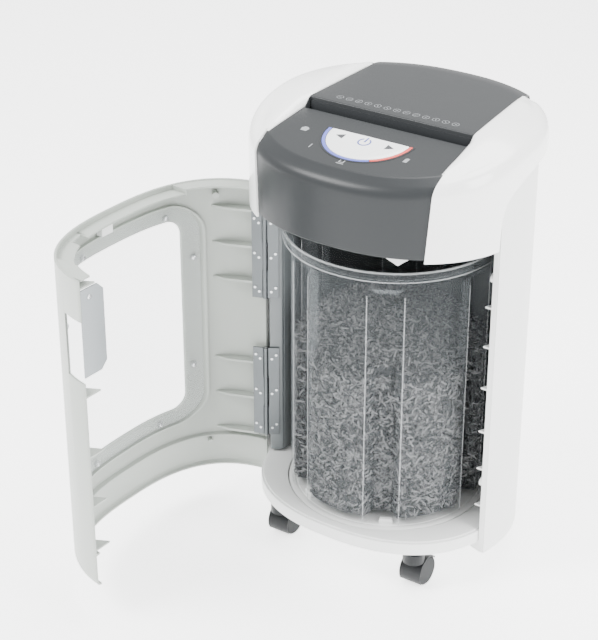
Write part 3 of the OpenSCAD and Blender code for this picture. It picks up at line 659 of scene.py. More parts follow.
class SHREDDER_OT_head_shell(bpy.types.Operator):
    """Grey middle of the head: curved fascia, sloping deck, slot edges and rear deck"""

    bl_idname = "shredder.head_shell"
    bl_label = "Head shell"

    def execute(self, context):
        u = np.linspace(-1, 1, 97)
        low, rim = size("fascia_low"), size("rim_width")

        def at(y, z):
            return u * zone_half(y, z)

        def row(x, y, z):
            return np.stack([x, y + 0 * u, z + 0 * u], 1)

        def ring(inset, drop, edge):
            """A row that keeps its distance from the outline, under the crease."""
            y = np.full_like(u, -150.0)
            for _ in range(6):
                x = at(y, 590)
                y = edge(x, inset)
            z = deck_z(edge(x, rim)) - drop
            return np.stack([x, y, z], 1)

        x1 = at(-130, low)
        crease = ring(rim, 0, front_y)
        pts = [
            row(x1, front_y(x1, 1.5), low + 0.2), row(x1, front_y(x1), low + 1.6),
            ring(0, 13, front_y), crease,
            row(at(-31, 606), -31, 606), row(at(-31, 606), -28.6, 590),
        ]
        rows = soft_path(pts, [0, 1, 10, 2.5, 1.6, 0], 8, [1, 12, 3, 14, 2])
        front = shell(rows, 2.8)
        edge = ring(0, 3, rear_y)
        pts = [
            row(at(-18, 617), -21.5, 588), row(at(-18, 617), -18, 617),
            ring(rim, 0, rear_y), edge, row(edge[:, 0], edge[:, 1], 582.2),
        ]
        back = shell(soft_path(pts, [0, 2.0, 8, 9, 0], 8, [2, 10, 1, 4]), 2.8)
        parts = [front, back]
        for s in (-1, 1):
            p = np.zeros((9, 4, 3))
            for i, f in enumerate(np.linspace(0, 1, 9)):
                y = -31.4 + 13.8 * f
                z = 606 + 11 * (3 * f * f - 2 * f ** 3)
                half = size("slot_half")
                xs = [half - 0.6, half + 0.2, half + 1.4, max(zone_half(y, z), half + 2)]
                zs = [z - 12, z - 0.5, z, z]
                p[i] = [(s * x, y, zz) for x, zz in zip(xs, zs)]
            parts.append(shell(p if s > 0 else p[:, ::-1], 2.0))
        v, f = join_data(parts)
        make("head_shell_skin", v, f, "head_grey", "cabinet", "head_grey", ("head_shell",))
        return {"FINISHED"}


class SHREDDER_OT_slot_walls(bpy.types.Operator):
    """Dark guide plates inside the paper slot"""

    bl_idname = "shredder.slot_walls"
    bl_label = "Slot walls"

    def execute(self, context):
        half = size("slot_half") - 2
        x = np.linspace(-half, half, 61)
        # the guides carry shallow ribs
        wave = 0.5 * np.cos(x / half * math.pi * 14) ** 8
        parts = []
        for ys, zs, sign in (
            ((-30.6, -30.0, -28.4), (602, 596, 572), 1), ((-18.6, -19.4, -21.0), (611.6, 600, 572), -1)
        ):
            rows = [np.stack([x, y + sign * wave, z + 0 * x], 1) for y, z in zip(ys, zs)]
            p = soft_path(rows, [0, 2, 0], 3, 3)
            parts.append(shell(p if sign < 0 else p[::-1], 1.2))
        v, f = join_data(parts)
        make("slot_guides", v, f, "throat_grey", "cabinet", "throat_grey", ("feed_throat",))
        return {"FINISHED"}


class SHREDDER_OT_covers(bpy.types.Operator):
    """White covers on both sides of the head"""

    bl_idname = "shredder.covers"
    bl_label = "Head covers"

    def execute(self, context):
        for side, name in ((1, "right"), (-1, "left")):
            v, f = self.cover()
            v = np.array(v)
            if side < 0:
                v[:, 0] *= -1
            make(
                "head_cover_" + name + "_skin", v, f, "cover_white", "cabinet", "cover_white",
                ("head_cover_" + name,), 28
            )
        return {"FINISHED"}

    def cover(self):
        """Right cover: rows run up the wall, over the rim and in to the deck; columns run front to back."""
        a, b, c = size("head_half"), size("head_front"), size("head_rear")
        rim, gap = size("rim_width"), 0.5
        v = np.unique(np.concatenate([np.linspace(0, 1, 90), np.linspace(0.30, 0.52, 70)]))

        def ring(z, inset):
            """Points at an inset from the outline, from the fascia's edge round to the back."""
            ends = []
            for edge, power, deep in ((front_y, 2.3, b), (rear_y, 2.3, c)):
                y = np.full_like(v, -130.0 if deep == b else 130.0)
                for _ in range(6):
                    y = edge(zone_half(y, z) + gap, inset)
                ends.append(np.sign(y) * np.arcsin(np.abs(y / (deep - inset)) ** (power / 2)))
            t = ends[0] + (ends[1] - ends[0]) * v
            return oval(t, a - inset, b - inset, c - inset)

        cx, cy = ring(np.full_like(v, 590.0), rim)
        # the top blends from the fascia's crease into a fuller, softly falling shoulder
        full = np.clip(v / 0.16, 0, 1) * np.clip((1 - v) / 0.1, 0, 1)
        full = 3 * full**2 - 2 * full**3
        crease = deck_z(cy) * (1 - full) + (cover_z(cy) - 1.5) * full
        _, wy = ring(np.full_like(v, 560.0), 0)
        low = cover_low(wy)
        k = int(np.argmin(np.abs(wy + 50)))
        low[k:] = cover_low(np.maximum(wy[k:], -49.9))
        low[:k] = 491.0
        rows = []
        for f in np.linspace(0, 1, 17):
            z = low + (crease - 22 - low) * f
            x, y = ring(z, 0)
            rows.append(np.stack([x, y, z], 1))
        for f in np.linspace(0, 1, 11)[1:]:
            w0, w1, w2 = (1 - f) ** 2, 2 * f * (1 - f), f * f
            inset = w2 * (7.3 + 5.7 * full)
            drop = w0 * 22 + w1 * (13 - 10 * full) + w2 * (7.7 - 6.4 * full)
            x, y = ring(crease - drop, 0)
            x7, y7 = ring(crease - drop, rim)
            m = inset / rim
            rows.append(np.stack([x + (x7 - x) * m, y + (y7 - y) * m, crease - drop], 1))
        rows.append(np.stack([cx, cy, crease], 1))
        inner = zone_half(cy, crease) + gap
        env = np.clip((cx - inner) / 25, 0, 1)
        ridge = cover_z(cy) + 3.6
        deck = deck_z(cy)
        for f in np.linspace(0, 1, 9)[1:]:
            x = cx + (inner + 7 * env - cx) * f
            z = crease + (ridge - crease) * env * math.sin(f * math.pi / 2)
            rows.append(np.stack([x, cy, z], 1))
        last = rows[-1]
        for f, d in ((0.45, 0.12), (0.8, 0.4), (1.0, 0.75)):
            x = last[:, 0] + (inner - last[:, 0]) * f
            z = last[:, 2] + (np.minimum(deck, last[:, 2]) - last[:, 2]) * d * env
            rows.append(np.stack([x, cy, z], 1))
        rows.append(np.stack([inner + 0.05, cy, np.minimum(deck - 3.2, last[:, 2] - 1)], 1))
        return shell(np.array(rows)[:, ::-1], 2.4)


def deck_patch(outline, top, low=0.0):
    """A thin patch lying on the sloping deck. outline is a ring of (x, y)."""
    o = np.asarray(outline, float)
    n = len(o)
    z = deck_z(o[:, 1])
    up = np.stack([o[:, 0], o[:, 1], z + top], 1)
    dn = np.stack([o[:, 0], o[:, 1], z + low], 1)
    faces = [tuple(range(n)), tuple(range(n, 2 * n))[::-1]]
    faces += [(i, n + i, n + (i + 1) % n, (i + 1) % n) for i in range(n)]
    return np.concatenate([up, dn]), faces


def ring_patch(cx, cy, r0, r1, a0, a1, top, low=0.0, steps=None):
    """An arc-shaped strip on the deck, in degrees."""
    steps = steps or max(8, int(abs(a1 - a0) / 3))
    t = np.radians(np.linspace(a0, a1, steps + 1))
    whole = abs(abs(a1 - a0) - 360) < 1e-6
    if whole:
        t = t[:-1]
    rows = []
    for t1 in t:
        d = np.array([math.cos(t1), math.sin(t1)])
        sec = []
        for r, h in ((r0, low), (r0, top), (r1, top), (r1, low)):
            q = np.array([cx, cy]) + d * r
            sec.append((q[0], q[1], deck_z(q[1]) + h))
        rows.append(sec)
    return section_sweep(np.array(rows), whole)


class SHREDDER_OT_controls(bpy.types.Operator):
    """Half-round control panel with its light ring and symbols"""

    bl_idname = "shredder.controls"
    bl_label = "Control panel"

    def execute(self, context):
        cx, cy, r = 0.0, -63.0, size("panel_radius")
        # dished face: flat in the middle, rolled at the rim
        rings = []
        for rr, h in (
            (r - 5.6, -3.4), (r - 5.6, 0.1), (r - 6.6, 0.75), (r - 14, 0.9), (r * 0.4, 0.9), (1.0, 0.9)
        ):
            t = np.radians(np.linspace(180, 360, 61))
            x = cx + rr * np.cos(t)
            y = np.minimum(cy + rr * np.sin(t), cy - 1.0 + (0.6 if rr < 2 else 0))
            rings.append(np.stack([x, y, deck_z(y) + h], 1))
        p = np.array(rings)
        r0, c0 = p.shape[:2]
        v = p.reshape(-1, 3)
        f = grid_faces(r0, c0)
        f.append(tuple(range(c0))[::-1])
        f.append(tuple((r0 - 1) * c0 + i for i in range(c0)))
        f.append(tuple([i * c0 for i in range(r0)] + [i * c0 + c0 - 1 for i in range(r0)][::-1]))
        make("control_face", v, f, "control_white", "cabinet", "control_white", ("control_panel",), 40)
        blue = ring_patch(cx, cy, r - 4.9, r - 0.7, 180.4, 299.6, 0.55, -2.5)
        make(
            "light_ring_blue", *blue, "status_blue", "cabinet", "status_blue", ("status_ring_blue",), 40,
            False, 0.3
        )
        red = ring_patch(cx, cy, r - 4.9, r - 0.7, 300.2, 359.6, 0.55, -2.5)
        make(
            "light_ring_red", *red, "status_red", "cabinet", "status_red", ("status_ring_red",), 40, False,
            0.3
        )
        lip = ring_patch(cx, cy, r + 0.5, r + 2.2, 180, 360, 0.5, -2)
        make("light_ring_lip", *lip, "head_grey", "cabinet", "head_grey", (), 40, False, 0.3)

        def tri(x, y, w, h, d):
            return deck_patch(
                [(x - w * d, y - h / 2), (x - w * d, y + h / 2), (x + w * d, y)][:: 1 if d > 0 else -1],
                1.2, 0.5
            )

        v, f = join_data([tri(-36, -77, 5.5, 11, -1), tri(36, -77, 5.5, 11, 1)])
        make("control_arrows", v, f, "icon_grey", "cabinet", "control_white")
        bar = [(-0.9, -78), (0.9, -78), (0.9, -67.5), (-0.9, -67.5)]
        v, f = join_data([ring_patch(0, -78, 7, 8.7, 122, 418, 1.25, 0.5), deck_patch(bar, 1.3, 0.5)])
        make("control_power", v, f, "icon_blue", "cabinet", "control_white")
        parts = [ring_patch(-84 + 14 * k, -2, 4.2, 4.7, 0, 360, 0.16, -0.3, 28) for k in range(13)]
        # a small bar inside each circle, turned differently in each
        for k in range(13):
            q = 0.5 * k
            e, g = np.array([math.cos(q), math.sin(q)]), np.array([-math.sin(q), math.cos(q)])
            o = np.array([-84 + 14 * k, -2])
            parts.append(
                deck_patch(
                    [
                        o - e * 2.4 - g * 0.35, o + e * 2.4 - g * 0.35, o + e * 2.4 + g * 0.35,
                        o - e * 2.4 + g * 0.35
                    ],
                    0.16, -0.3
                )
            )
        # plain pictograms round the panel: a bag, a bar, a bin and a sheet
        bag = [(-90, -84), (-82, -84), (-80.5, -78), (-84, -74.5), (-88.5, -74.5), (-91.5, -78)]
        tick = [(-56.6, -117), (-55.4, -117), (-55.4, -108), (-56.6, -108)]
        tray = [(-5, -135), (5, -135), (5, -133.6), (-5, -133.6)]
        case = [
            (-3.6, -132), (3.6, -132), (3.6, -125), (2.2, -125), (2.2, -130.6), (-2.2, -130.6),
            (-2.2, -125), (-3.6, -125)
        ]
        sheet = [(66, -98), (71.5, -98), (71.5, -88.5), (67.8, -88.5), (66, -90.5)]
        parts += [deck_patch(q, 0.16, -0.3) for q in (bag, tick, tray, case, sheet)]
        v, f = join_data(parts)
        make("deck_marks", v, f, "icon_faint", "cabinet", "head_grey")
        return {"FINISHED"}


class SHREDDER_OT_catch(bpy.types.Operator):
    """Pointed white door catch under the fascia"""

    bl_idname = "shredder.catch"
    bl_label = "Door catch"

    def execute(self, context):
        x = np.linspace(49, 98, 25)
        tip = 84.0
        depth = np.where(x < tip, (x - 49) / (tip - 49), (98.5 - x) / (98.5 - tip))
        bottom = 491.5 - 3.0 - 11.5 * np.clip(depth, 0, 1) ** 1.15
        rows = []
        yf = -130.5
        for z, y in ((495, yf), (494, yf - 1.0), (0, yf - 1.6), (0, yf + 0.6), (0, yf + 12), (495, yf + 20)):
            zz = np.full_like(x, z) if z else bottom + (0 if y < yf else 0.6)
            rows.append(np.stack([x, np.full_like(x, y), zz], 1))
        p = np.array(rows).transpose(1, 0, 2)
        v, f = section_sweep(p)
        make(
            "door_catch", v, f, "cabinet_white", "cabinet", "cabinet_white", ("interlock_switch",), 30,
            False, 0.5
        )
        return {"FINISHED"}


# ---- cabinet ----


def outline_angles(inset, y_from, y_to, n, a=182, b=161, c=153, power=2.0):
    """Angles on the right side of the cabinet outline between two depths."""
    fine = np.linspace(math.radians(-89), math.radians(89), 4000)
    _, y = oval(fine, a - inset, b - inset, c - inset, power)
    k = np.interp([y_from, y_to], y, fine)
    return np.linspace(k[0], k[1], n)


class SHREDDER_OT_side_panels(bpy.types.Operator):
    """Side walls of the cabinet with front returns, fins and screw bosses"""

    bl_idname = "shredder.side_panels"
    bl_label = "Side panels"

    def execute(self, context):
        # a dark sheet just inside the walls is painted shade under the head; the cabinet has no such lining
        t = np.linspace(math.asin(-30 / 157), math.pi + math.asin(30 / 157), 90)
        x, y = oval(t, 178.6, 157, 149.4, 2.0, 2.0)
        y = np.minimum(y, 146.4)
        wall = soft_path([np.stack([x, y, z + 0 * x], 1) for z in (86, 488)], [0, 0], 1, 6)
        make("cabinet_lining", *shell(wall[::-1], 0.7), "lining_grey", "cabinet", "cabinet_white", (), 40)
        for side, front, name in ((1, -50, "right"), (-1, -34, "left")):
            parts = []
            t = outline_angles(0, front + 1.2, 132.8, 90)
            x, y = oval(t, 184.4, 163, 153, 2.0)
            top = cover_low(np.maximum(y, -49.9)) - 0.5
            low = np.full_like(x, 45.0)
            rows = [np.stack([x, y, low], 1), np.stack([x, y, top], 1)]
            p = soft_path(rows, [0, 0], 1, 24)
            parts.append(shell(p, 2.5))
            # front return
            f0 = oval(outline_angles(0, front, front + 2.4, 2), 182, 161, 153, 2.0)
            x0 = float(f0[0][0]) + 1.4
            sec = np.array(
                [
                    (x0 - 0.6, front + 0.02), (x0 - 0.2, front + 2.4), (x0 - 6.5, front + 2.4),
                    (x0 - 7, front + 1.2), (x0 - 6.5, front + 0.02)
                ]
            )
            if side > 0:
                zs = [45.5, 531.0]
                st = np.array([[(a, b, z) for a, b in sec] for z in zs])
                parts.append(section_sweep(st))
                for z in (112, 168, 224, 288, 348, 404):
                    tri = [
                        (x0 - 1, front + 6, z), (x0 - 18, front + 6, z), (x0 - 17, front + 8, z),
                        (x0 - 2, front + 33, z)
                    ]
                    parts.append(prism(tri, (0, 0, 2.4)))
                for z in (150, 447):
                    parts.append(
                        turned(
                            [(3.2, 10), (3.2, 0), (6, 0), (6.2, 11), (3, 11.5)], (166, front + 9, z),
                            (1, 0, 0), 28
                        )
                    )
                # rounded tab under the base
                tab = [(x0 - 1.5, front + 1, z) for z in (45.5, 62)] + [
                    (x0 - 26, front + 1, 62), (x0 - 24, front + 1, 54), (x0 - 18, front + 1, 48.5),
                    (x0 - 8, front + 1, 45.5)
                ]
                parts.append(prism(tab, (0, 2.4, 0)))
            v, f = join_data(parts)
            v = np.array(v)
            v[:, 0] *= side
            make(
                "side_panel_" + name + "_skin", v, f, "cabinet_white", "cabinet", "cabinet_white",
                ("side_panel_" + name,), 32
            )
        return {"FINISHED"}


class SHREDDER_OT_base(bpy.types.Operator):
    """Stepped white base round the bin stand, and the stand with its lugs"""

    bl_idname = "shredder.base"
    bl_label = "Base and bin stand"

    def execute(self, context):
        t = np.linspace(0, 2 * math.pi, 181)[:-1]
        top = size("stand_top")

        def rim(d, z, big=173):
            x, y = oval(t, big - d, big - 23 - d, big - 30 - d, 2.0)
            return np.stack([x, y, z + 0 * t], 1)

        def circle(r, z):
            return np.stack([r * np.cos(t), r * np.sin(t), z + 0 * t], 1)

        pts = [
            circle(138.2, top - 12), circle(138.2, top), rim(0, top), rim(0, top - 2.2),
            rim(-3, top - 2.4), rim(-3, 60), rim(6, 60), rim(6, 62.5), circle(120, 62.5),
            circle(120, top - 12),
        ]
        p = soft_path([q[:, :] for q in pts] + [pts[0]], [0, 1.2, 1.6, 0.4, 1.0, 1.6, 1, 1, 1, 1, 0], 4, 1)
        v, f = p[:-1].reshape(-1, 3), grid_faces(p.shape[0] - 1, p.shape[1], True, True)
        make("base_rim", v, f, "cabinet_white", "cabinet", "cabinet_white", ("base_plate",), 30)
        prof = [
            (0.5, 68.2), (136.4, 68.2), (137.0, 69), (137.0, 77.4), (136.4, 79.2), (134.6, 80.0),
            (129, 80.0), (128.4, 79.4), (126.6, 79.4), (126, 80.0), (0.5, 80.0)
        ]
        parts = [turned(prof, (0, 0, 0), (0, 0, 1), 160)]
        for deg in (60, 120, 240, 300):
            r = math.radians(deg)
            d, e = np.array([math.cos(r), math.sin(r)]), np.array([-math.sin(r), math.cos(r)])
            sec = []
            for k, z in ((0, 79.5), (0, 85), (1.2, 86.6)):
                ring = []
                for q in ((116 + k, -9 + k), (124 - k, -9 + k), (124 - k, 9 - k), (116 + k, 9 - k)):
                    w = d * q[0] + e * q[1]
                    ring.append((w[0], w[1], z))
                sec.append(ring)
            parts.append(section_sweep(np.array(sec)))
        v, f = join_data(parts)
        make("bin_turntable", v, f, "cabinet_white", "cabinet", "cabinet_white", ("bin_stand",), 30)
        return {"FINISHED"}


class SHREDDER_OT_column(bpy.types.Operator):
    """Blue grey hinge column with its ladder of shelves"""

    bl_idname = "shredder.column"
    bl_label = "Hinge column"

    def execute(self, context):
        z0, z1 = size("stand_top") + 4, size("fascia_low") - 2
        sec = [
            (-166.9, -42.7), (-155.4, -35.5), (-153.4, -34.0), (-152.6, -30), (-154.6, -29), (-157, -30.5),
            (-170, -36), (-175, -33), (-170.6, -38.5)
        ]
        parts = [section_sweep(np.array([[(x, y, z) for x, y in sec] for z in (z0, z1)]))]
        back = [(-175, -33), (-175, -10), (-173, -10), (-173, -31)]
        parts.append(section_sweep(np.array([[(x, y, z) for x, y in back] for z in (z0, z1)])))
        web = [(-154.6, -30), (-152.2, -30), (-152.2, -10), (-154.6, -10)]
        parts.append(section_sweep(np.array([[(x, y, z) for x, y in web] for z in (z0, z1)])))
        for i in range(15):
            z = z0 + 10 + 28 * i
            if z > z1 - 4:
                break
            shelf = [(-174, -32, z), (-156, -31, z), (-153.4, -29, z), (-153.4, -11, z), (-174, -11, z)]
            parts.append(prism(shelf, (0, 0, 2.2)))
        v, f = join_data(parts)
        make(
            "hinge_column_skin", v, f, "column_grey", "cabinet", "column_grey", ("hinge_column",), 30,
            False, 0.4
        )
        return {"FINISHED"}


# ---- door ----


def door_point(x, z, depth):
    """A point on the door, drawn closed, at a depth under its outer face."""
    return np.stack([x, door_y(x, depth), z], -1)


def rounded_ring(grow, n=24):
    """The window's rounded outline, grown by a distance, as (x, z) points."""
    half, z0, z1 = 112 + grow, 150 - grow, 438 + grow
    r = max(0.6, 22 + grow)
    half, hh, zc = max(half, r + 0.01), max((z1 - z0) / 2, r + 0.01), (z0 + z1) / 2
    out = []
    for cx, cz, a0 in (
        (half - r, hh - r, 0), (-half + r, hh - r, 90), (-half + r, -hh + r, 180), (half - r, -hh + r, 270)
    ):
        for a in np.radians(np.linspace(a0, a0 + 90, n)):
            out.append((cx + r * math.cos(a), zc + cz + r * math.sin(a)))
    # straight runs get points of their own so the ring follows the curved door
    ring = []
    for i, q in enumerate(out):
        ring.append(q)
        if (i + 1) % n == 0:
            nx = out[(i + 1) % len(out)]
            for s in np.linspace(0, 1, 16)[1:-1]:
                ring.append((q[0] + (nx[0] - q[0]) * s, q[1] + (nx[1] - q[1]) * s))
    return np.array(ring)


def door_strip(outer, inner, z0, z1, x0, x1, n):
    """A band of the door between two insets, two heights and two distances to the side."""
    corners = ((inner, z0), (inner, z1), (outer, z1), (outer, z0))
    st = [
        [(x, min(float(door_y(x, d)), -52.6), z) for d, z in corners]
        for x in x0 + (x1 - x0) * np.linspace(0, 1, n)
    ]
    return section_sweep(np.array(st))


class SHREDDER_OT_door(bpy.types.Operator):
    """Curved front door with its window opening, ribs, webs, flanges and grip"""

    bl_idname = "shredder.door"
    bl_label = "Door"

    def execute(self, context):
        top, low = size("door_top"), size("door_low")
        a, b = size("head_half"), size("head_front")
        sec = [
            (0.7, top), (0, top - 0.8), (0, low + 12), (0.4, low + 8), (1.6, low + 4), (
                4.2, low + 1.2
            ), (9, low),
            (9, low + 2.2), (6, low + 3), (4, low + 5), (3, low + 9), (3, 96.5), (8.6, 97),
            (9.4, 98), (8.8, 99.4), (3, 100),
            (3, top - 0.8), (2.3, top),
        ]
        n = 120
        st = np.zeros((n, len(sec), 3))
        for k, (d, z) in enumerate(sec):
            aa, bb = a - d, b - d
            da = math.asin((50.6 / bb) ** 1.35)
            db = math.asin((52.2 / bb) ** 1.35)
            t = np.linspace(math.pi + db, 2 * math.pi - da, n)
            x, y = oval(t, aa, bb, 10, 2, 2.7)
            st[:, k] = np.stack([x, y, z + 0 * x], 1)
        v, f = section_sweep(st)
        ob = make("door_skin", v, f, "door_white", None, None)
        ring = rounded_ring(0)
        block = np.stack([np.stack([ring[:, 0], np.full(len(ring), y), ring[:, 1]], 1) for y in (-240, -60)])
        cut_away(ob, section_sweep(block))
        cut_away(ob, prism([(150, -85, 350), (210, -85, 350), (210, -25, 350), (150, -25, 350)], (0, 0, 85)))
        me = ob.data
        co = np.zeros(len(me.vertices) * 3)
        me.vertices.foreach_get("co", co)
        co = open_door(co.reshape(-1, 3) * 1000) / 1000
        me.vertices.foreach_set("co", co.reshape(-1))
        me.update()
        mod = ob.modifiers.new("edges", "BEVEL")
        mod.width, mod.segments, mod.limit_method, mod.angle_limit = 0.0007, 2, "ANGLE", math.radians(50)
        bake_modifiers(ob)
        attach(ob, "door")
        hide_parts("door_shell")

        parts = []
        # rib round the window
        r0, r1 = rounded_ring(21.5), rounded_ring(24)
        p = np.stack(
            [
                door_point(r1[:, 0], r1[:, 1], 2.5), door_point(r1[:, 0], r1[:, 1], 8),
                door_point(r0[:, 0], r0[:, 1], 8), door_point(r0[:, 0], r0[:, 1], 2.5)
            ]
        )
        parts.append((p.reshape(-1, 3), grid_faces(4, len(r0), True, True)))
        v, f = join_data(parts)
        make("door_window_rib", v, f, "door_white", "door", "cabinet_white", (), 30, True, 0.5)
        parts = []
        for d, z, x0, x1 in (
            (22, 480, -105, 72.4), (10, 480, 72.4, 95.6), (22, 480, 95.6, 148), (22, top - 4, 148, 174),
            (22, top - 4, -173, -105)
        ):
            parts.append(door_strip(1.5, d, z, z + 2.7, x0, x1, 30))
        for x in (-105, 148):
            y0, y1 = float(door_y(x, 1.5)), float(door_y(x, 22))
            parts.append(
                prism([(x, y0, 480), (x, y1, 480), (x, y1, top - 1.2), (x, y0, top - 1.2)], (2.4, 0, 0))
            )
        v, f = join_data(parts)
        make("door_top_flange", v, f, "door_white", "door", "cabinet_white", (), 30, True, 0.5)
        parts = []
        for z in (104, 170, 243, 329, 476.5):
            y0 = -50.9
            tri = [
                (178.6, y0), (152, y0), (152.8, y0 - 1.8), (160, -66), (168.5, -82.5), (170.4, -81),
                (175.5, -66)
            ]
            parts.append(prism([(x, y, z) for x, y in tri], (0, 0, 2.4)))
        # wedges that carry the hinge leaves
        wedge = [
            (-177.5, -57), (-166, -57.5), (-149, -98), (-146, -118), (-148, -118.5), (-162, -97.5),
            (-172.5, -74)
        ]
        for z in (108, 165, 221, 345, 397, 450):
            parts.append(prism([(x, y, z) for x, y in wedge], (0, 0, 3.4)))
        v, f = join_data(parts)
        make("door_webs", v, f, "door_white", "door", "cabinet_white", (), 30, True, 0.4)
        parts = []
        for x, z, r in ((156, 120, 5.5), (-151, 470, 4.5), (120, 470, 4), (-140, 90, 3.5)):
            y = float(door_y(x, 3.2))
            parts.append(
                turned(
                    [(r * 0.55, 7.5), (r * 0.55, 0), (r, 0), (r, 8), (r * 0.6, 8.2)], (x * 0.985, y, z),
                    (-x * 0.9 / 184, -y / 163, 0), 24
                )
            )
        v, f = join_data(parts)
        make("door_bosses", v, f, "door_white", "door", "cabinet_white", (), 30, True)
        # grip plate
        out = [(177.4, 357), (177.4, 475), (148, 475), (138, 465), (138, 367), (148, 357)]
        v, f = prism([(x, -50.8, z) for x, z in out], (0, -2, 0))
        make("grip_blade", v, f, "grip_blue_grey", "door", "grip_blue_grey", ("grip_plate",), 30, True, 0.6)
        v, f = screw_head((163, -50.85, 463), (0, 1, 0), 3.2, 1.3)
        make("grip_fixing", v, f, "screw_steel", "door", "screw_steel", ("grip_screw",), 30, True)
        return {"FINISHED"}


class SHREDDER_OT_window(bpy.types.Operator):
    """Clear window pane behind the opening, with its screw posts"""

    bl_idname = "shredder.window"
    bl_label = "Door window"

    def execute(self, context):
        levels = [
            (20, 0), (19, 0), (6, 0), (3, 0.4), (-1.5, -2.6), (-4, -3.0), (-20, -3.0), (-45, -3.0),
            (-75, -3.0), (-105, -3.0)
        ]
        inner, outer = [], []
        for g, d in levels:
            r = rounded_ring(g)
            outer.append(door_point(r[:, 0], r[:, 1], 3.3 + d))
            inner.append(door_point(r[:, 0], r[:, 1], 5.3 + d))
        p = np.array(outer[::-1] + inner)
        n = p.shape[1]
        v, f = p.reshape(-1, 3), grid_faces(p.shape[0], n, False, True)
        f.append(tuple(range(n)))
        f.append(tuple((p.shape[0] - 1) * n + i for i in range(n))[::-1])
        make("window_pane", v, f, "window_clear", "door", "window_clear", ("door_window",), 30, True)
        spots = [
            (-124, 380), (-120, 216), (124, 380), (120, 216), (-88, 446), (66, 446), (-66, 138), (62, 138)
        ]
        posts, heads = [], []
        for x, z in spots:
            y = float(door_y(x, 5.3))
            sx = (abs(x) / 178.7) ** 1.7 / 178.7 * (1 if x > 0 else -1)
            sy = (abs(y) / 157.7) ** 1.7 / 157.7
            axis = np.array([-sx, sy, 0])
            axis /= np.linalg.norm(axis)
            o = np.array([x, y, z])
            posts.append(turned([(4.6, -0.4), (4.4, 2.2), (3.6, 2.8)], o, axis, 28))
            heads.append(screw_head(o + axis * 2.6, axis, 2.9, 1.4))
        v, f = join_data(posts)
        make("window_posts", v, f, "bin_edge", "door", "window_clear", (), 30, True)
        v, f = join_data(heads)
        make("window_fixings", v, f, "screw_steel", "door", "screw_steel", ("window_screws",), 30, True)
        return {"FINISHED"}


# ---- bin ----


def flute(deg):
    """How deep a flute is at an angle, from 0 to 1, with crisp sides."""
    d = np.abs((deg + 33) % 60 - 30)
    return np.clip((10 - d) / 3.2, 0, 1)


def bin_radius_at(deg, z, inset=0.0):
    """Radius of the bin's wall."""
    depth = np.minimum(flute(deg) * size("flute_depth"), np.maximum(0, (432 - z) * 1.3))
    return size("bin_radius") - inset - depth


class SHREDDER_OT_bin(bpy.types.Operator):
    """Clear fluted bin with a wide rim"""

    bl_idname = "shredder.bin"
    bl_label = "Bin"

    def execute(self, context):
        top = size("bin_top")
        deg = []
        for k in range(6):
            base = 60 * k
            deg += [
                base - 3 + d for d in (
                    -30, -25, -20, -16, -12, -10.6, -10, -9.4, -8.2, -7.4, -6.8, -6.2, -3, 0, 3, 6.2, 6.8,
                    7.4, 8.2, 9.4, 10, 10.6, 12, 16, 20, 25
                )
            ]
        deg = np.array(deg, float)
        t = np.radians(deg)

        def row(r, z):
            return np.stack([r * np.cos(t), r * np.sin(t), z + 0 * t], 1)

        rim = size("rim_radius")
        zs = [84, 88, 96, 140, 200, 260, 320, 380, 410, 416, 418, 420, 422, 424, 426, 428, 430, 432, 434, 444]
        outer = [row(bin_radius_at(deg, 81) - 6, 80.6), row(bin_radius_at(deg, 81) - 1.5, 81.2)]
        outer += [row(bin_radius_at(deg, z), z) for z in zs]
        outer += [
            row(140 + 0 * t, 446), row(rim - 1, 447.2), row(rim + 0 * t, 449), row(rim + 0 * t, top - 1),
            row(rim - 0.8, top)
        ]
        inner = [
            row(rim - 2.2, top), row(rim - 2.6, top - 1), row(rim - 2.8, 450.4), row(140 + 0 * t, 448.6),
            row(size("bin_radius") - 2.5 + 0 * t, 446)
        ]
        inner += [row(bin_radius_at(deg, z, 2.4), z) for z in zs[::-1] if z > 90]
        inner += [row(bin_radius_at(deg, 90, 5), 91.2)]
        p = np.array(outer + inner)
        n = len(deg)
        v, f = p.reshape(-1, 3), grid_faces(p.shape[0], n, False, True)
        f.append(tuple(range(n)))
        f.append(tuple((p.shape[0] - 1) * n + i for i in range(n))[::-1])
        make("bin_body", v, f, "bin_clear", "bin", "bin_clear", ("waste_bin",), 26)
        # painted highlight lines: both edges of the rim and the corners of the flutes, as thin strips of a
        # lighter clear finish
        parts = []
        ring_t = np.radians(np.linspace(0, 360, 181)[:-1])
        for r, z, w in ((rim - 1.3, top + 0.0, 1.5), (rim - 0.6, 448.0, 0.9)):
            st = []
            for q in ring_t:
                sec = []
                for s in np.radians([45, 135, 225, 315]):
                    rr = r + w * math.cos(s)
                    sec.append((rr * math.cos(q), rr * math.sin(q), z + w * math.sin(s)))
                st.append(sec)
            parts.append(section_sweep(np.array(st), True))
        for k in range(6):
            for d in (-10.2, 10.2):
                q = math.radians(60 * k - 3 + d)
                r = size("bin_radius") + 0.1
                e = np.array([math.cos(q), math.sin(q), 0])
                g = np.array([-math.sin(q), math.cos(q), 0])
                st = []
                for z in (86, 422):
                    c = e * r + np.array([0, 0, z])
                    st.append([c + g * 0.7, c + e * 0.5, c - g * 0.7, c - e * 0.9])
                parts.append(section_sweep(np.array(st)))
        v, f = join_data(parts)
        make("bin_bright_edges", v, f, "bin_edge", "bin", "bin_clear", (), 50)
        return {"FINISHED"}


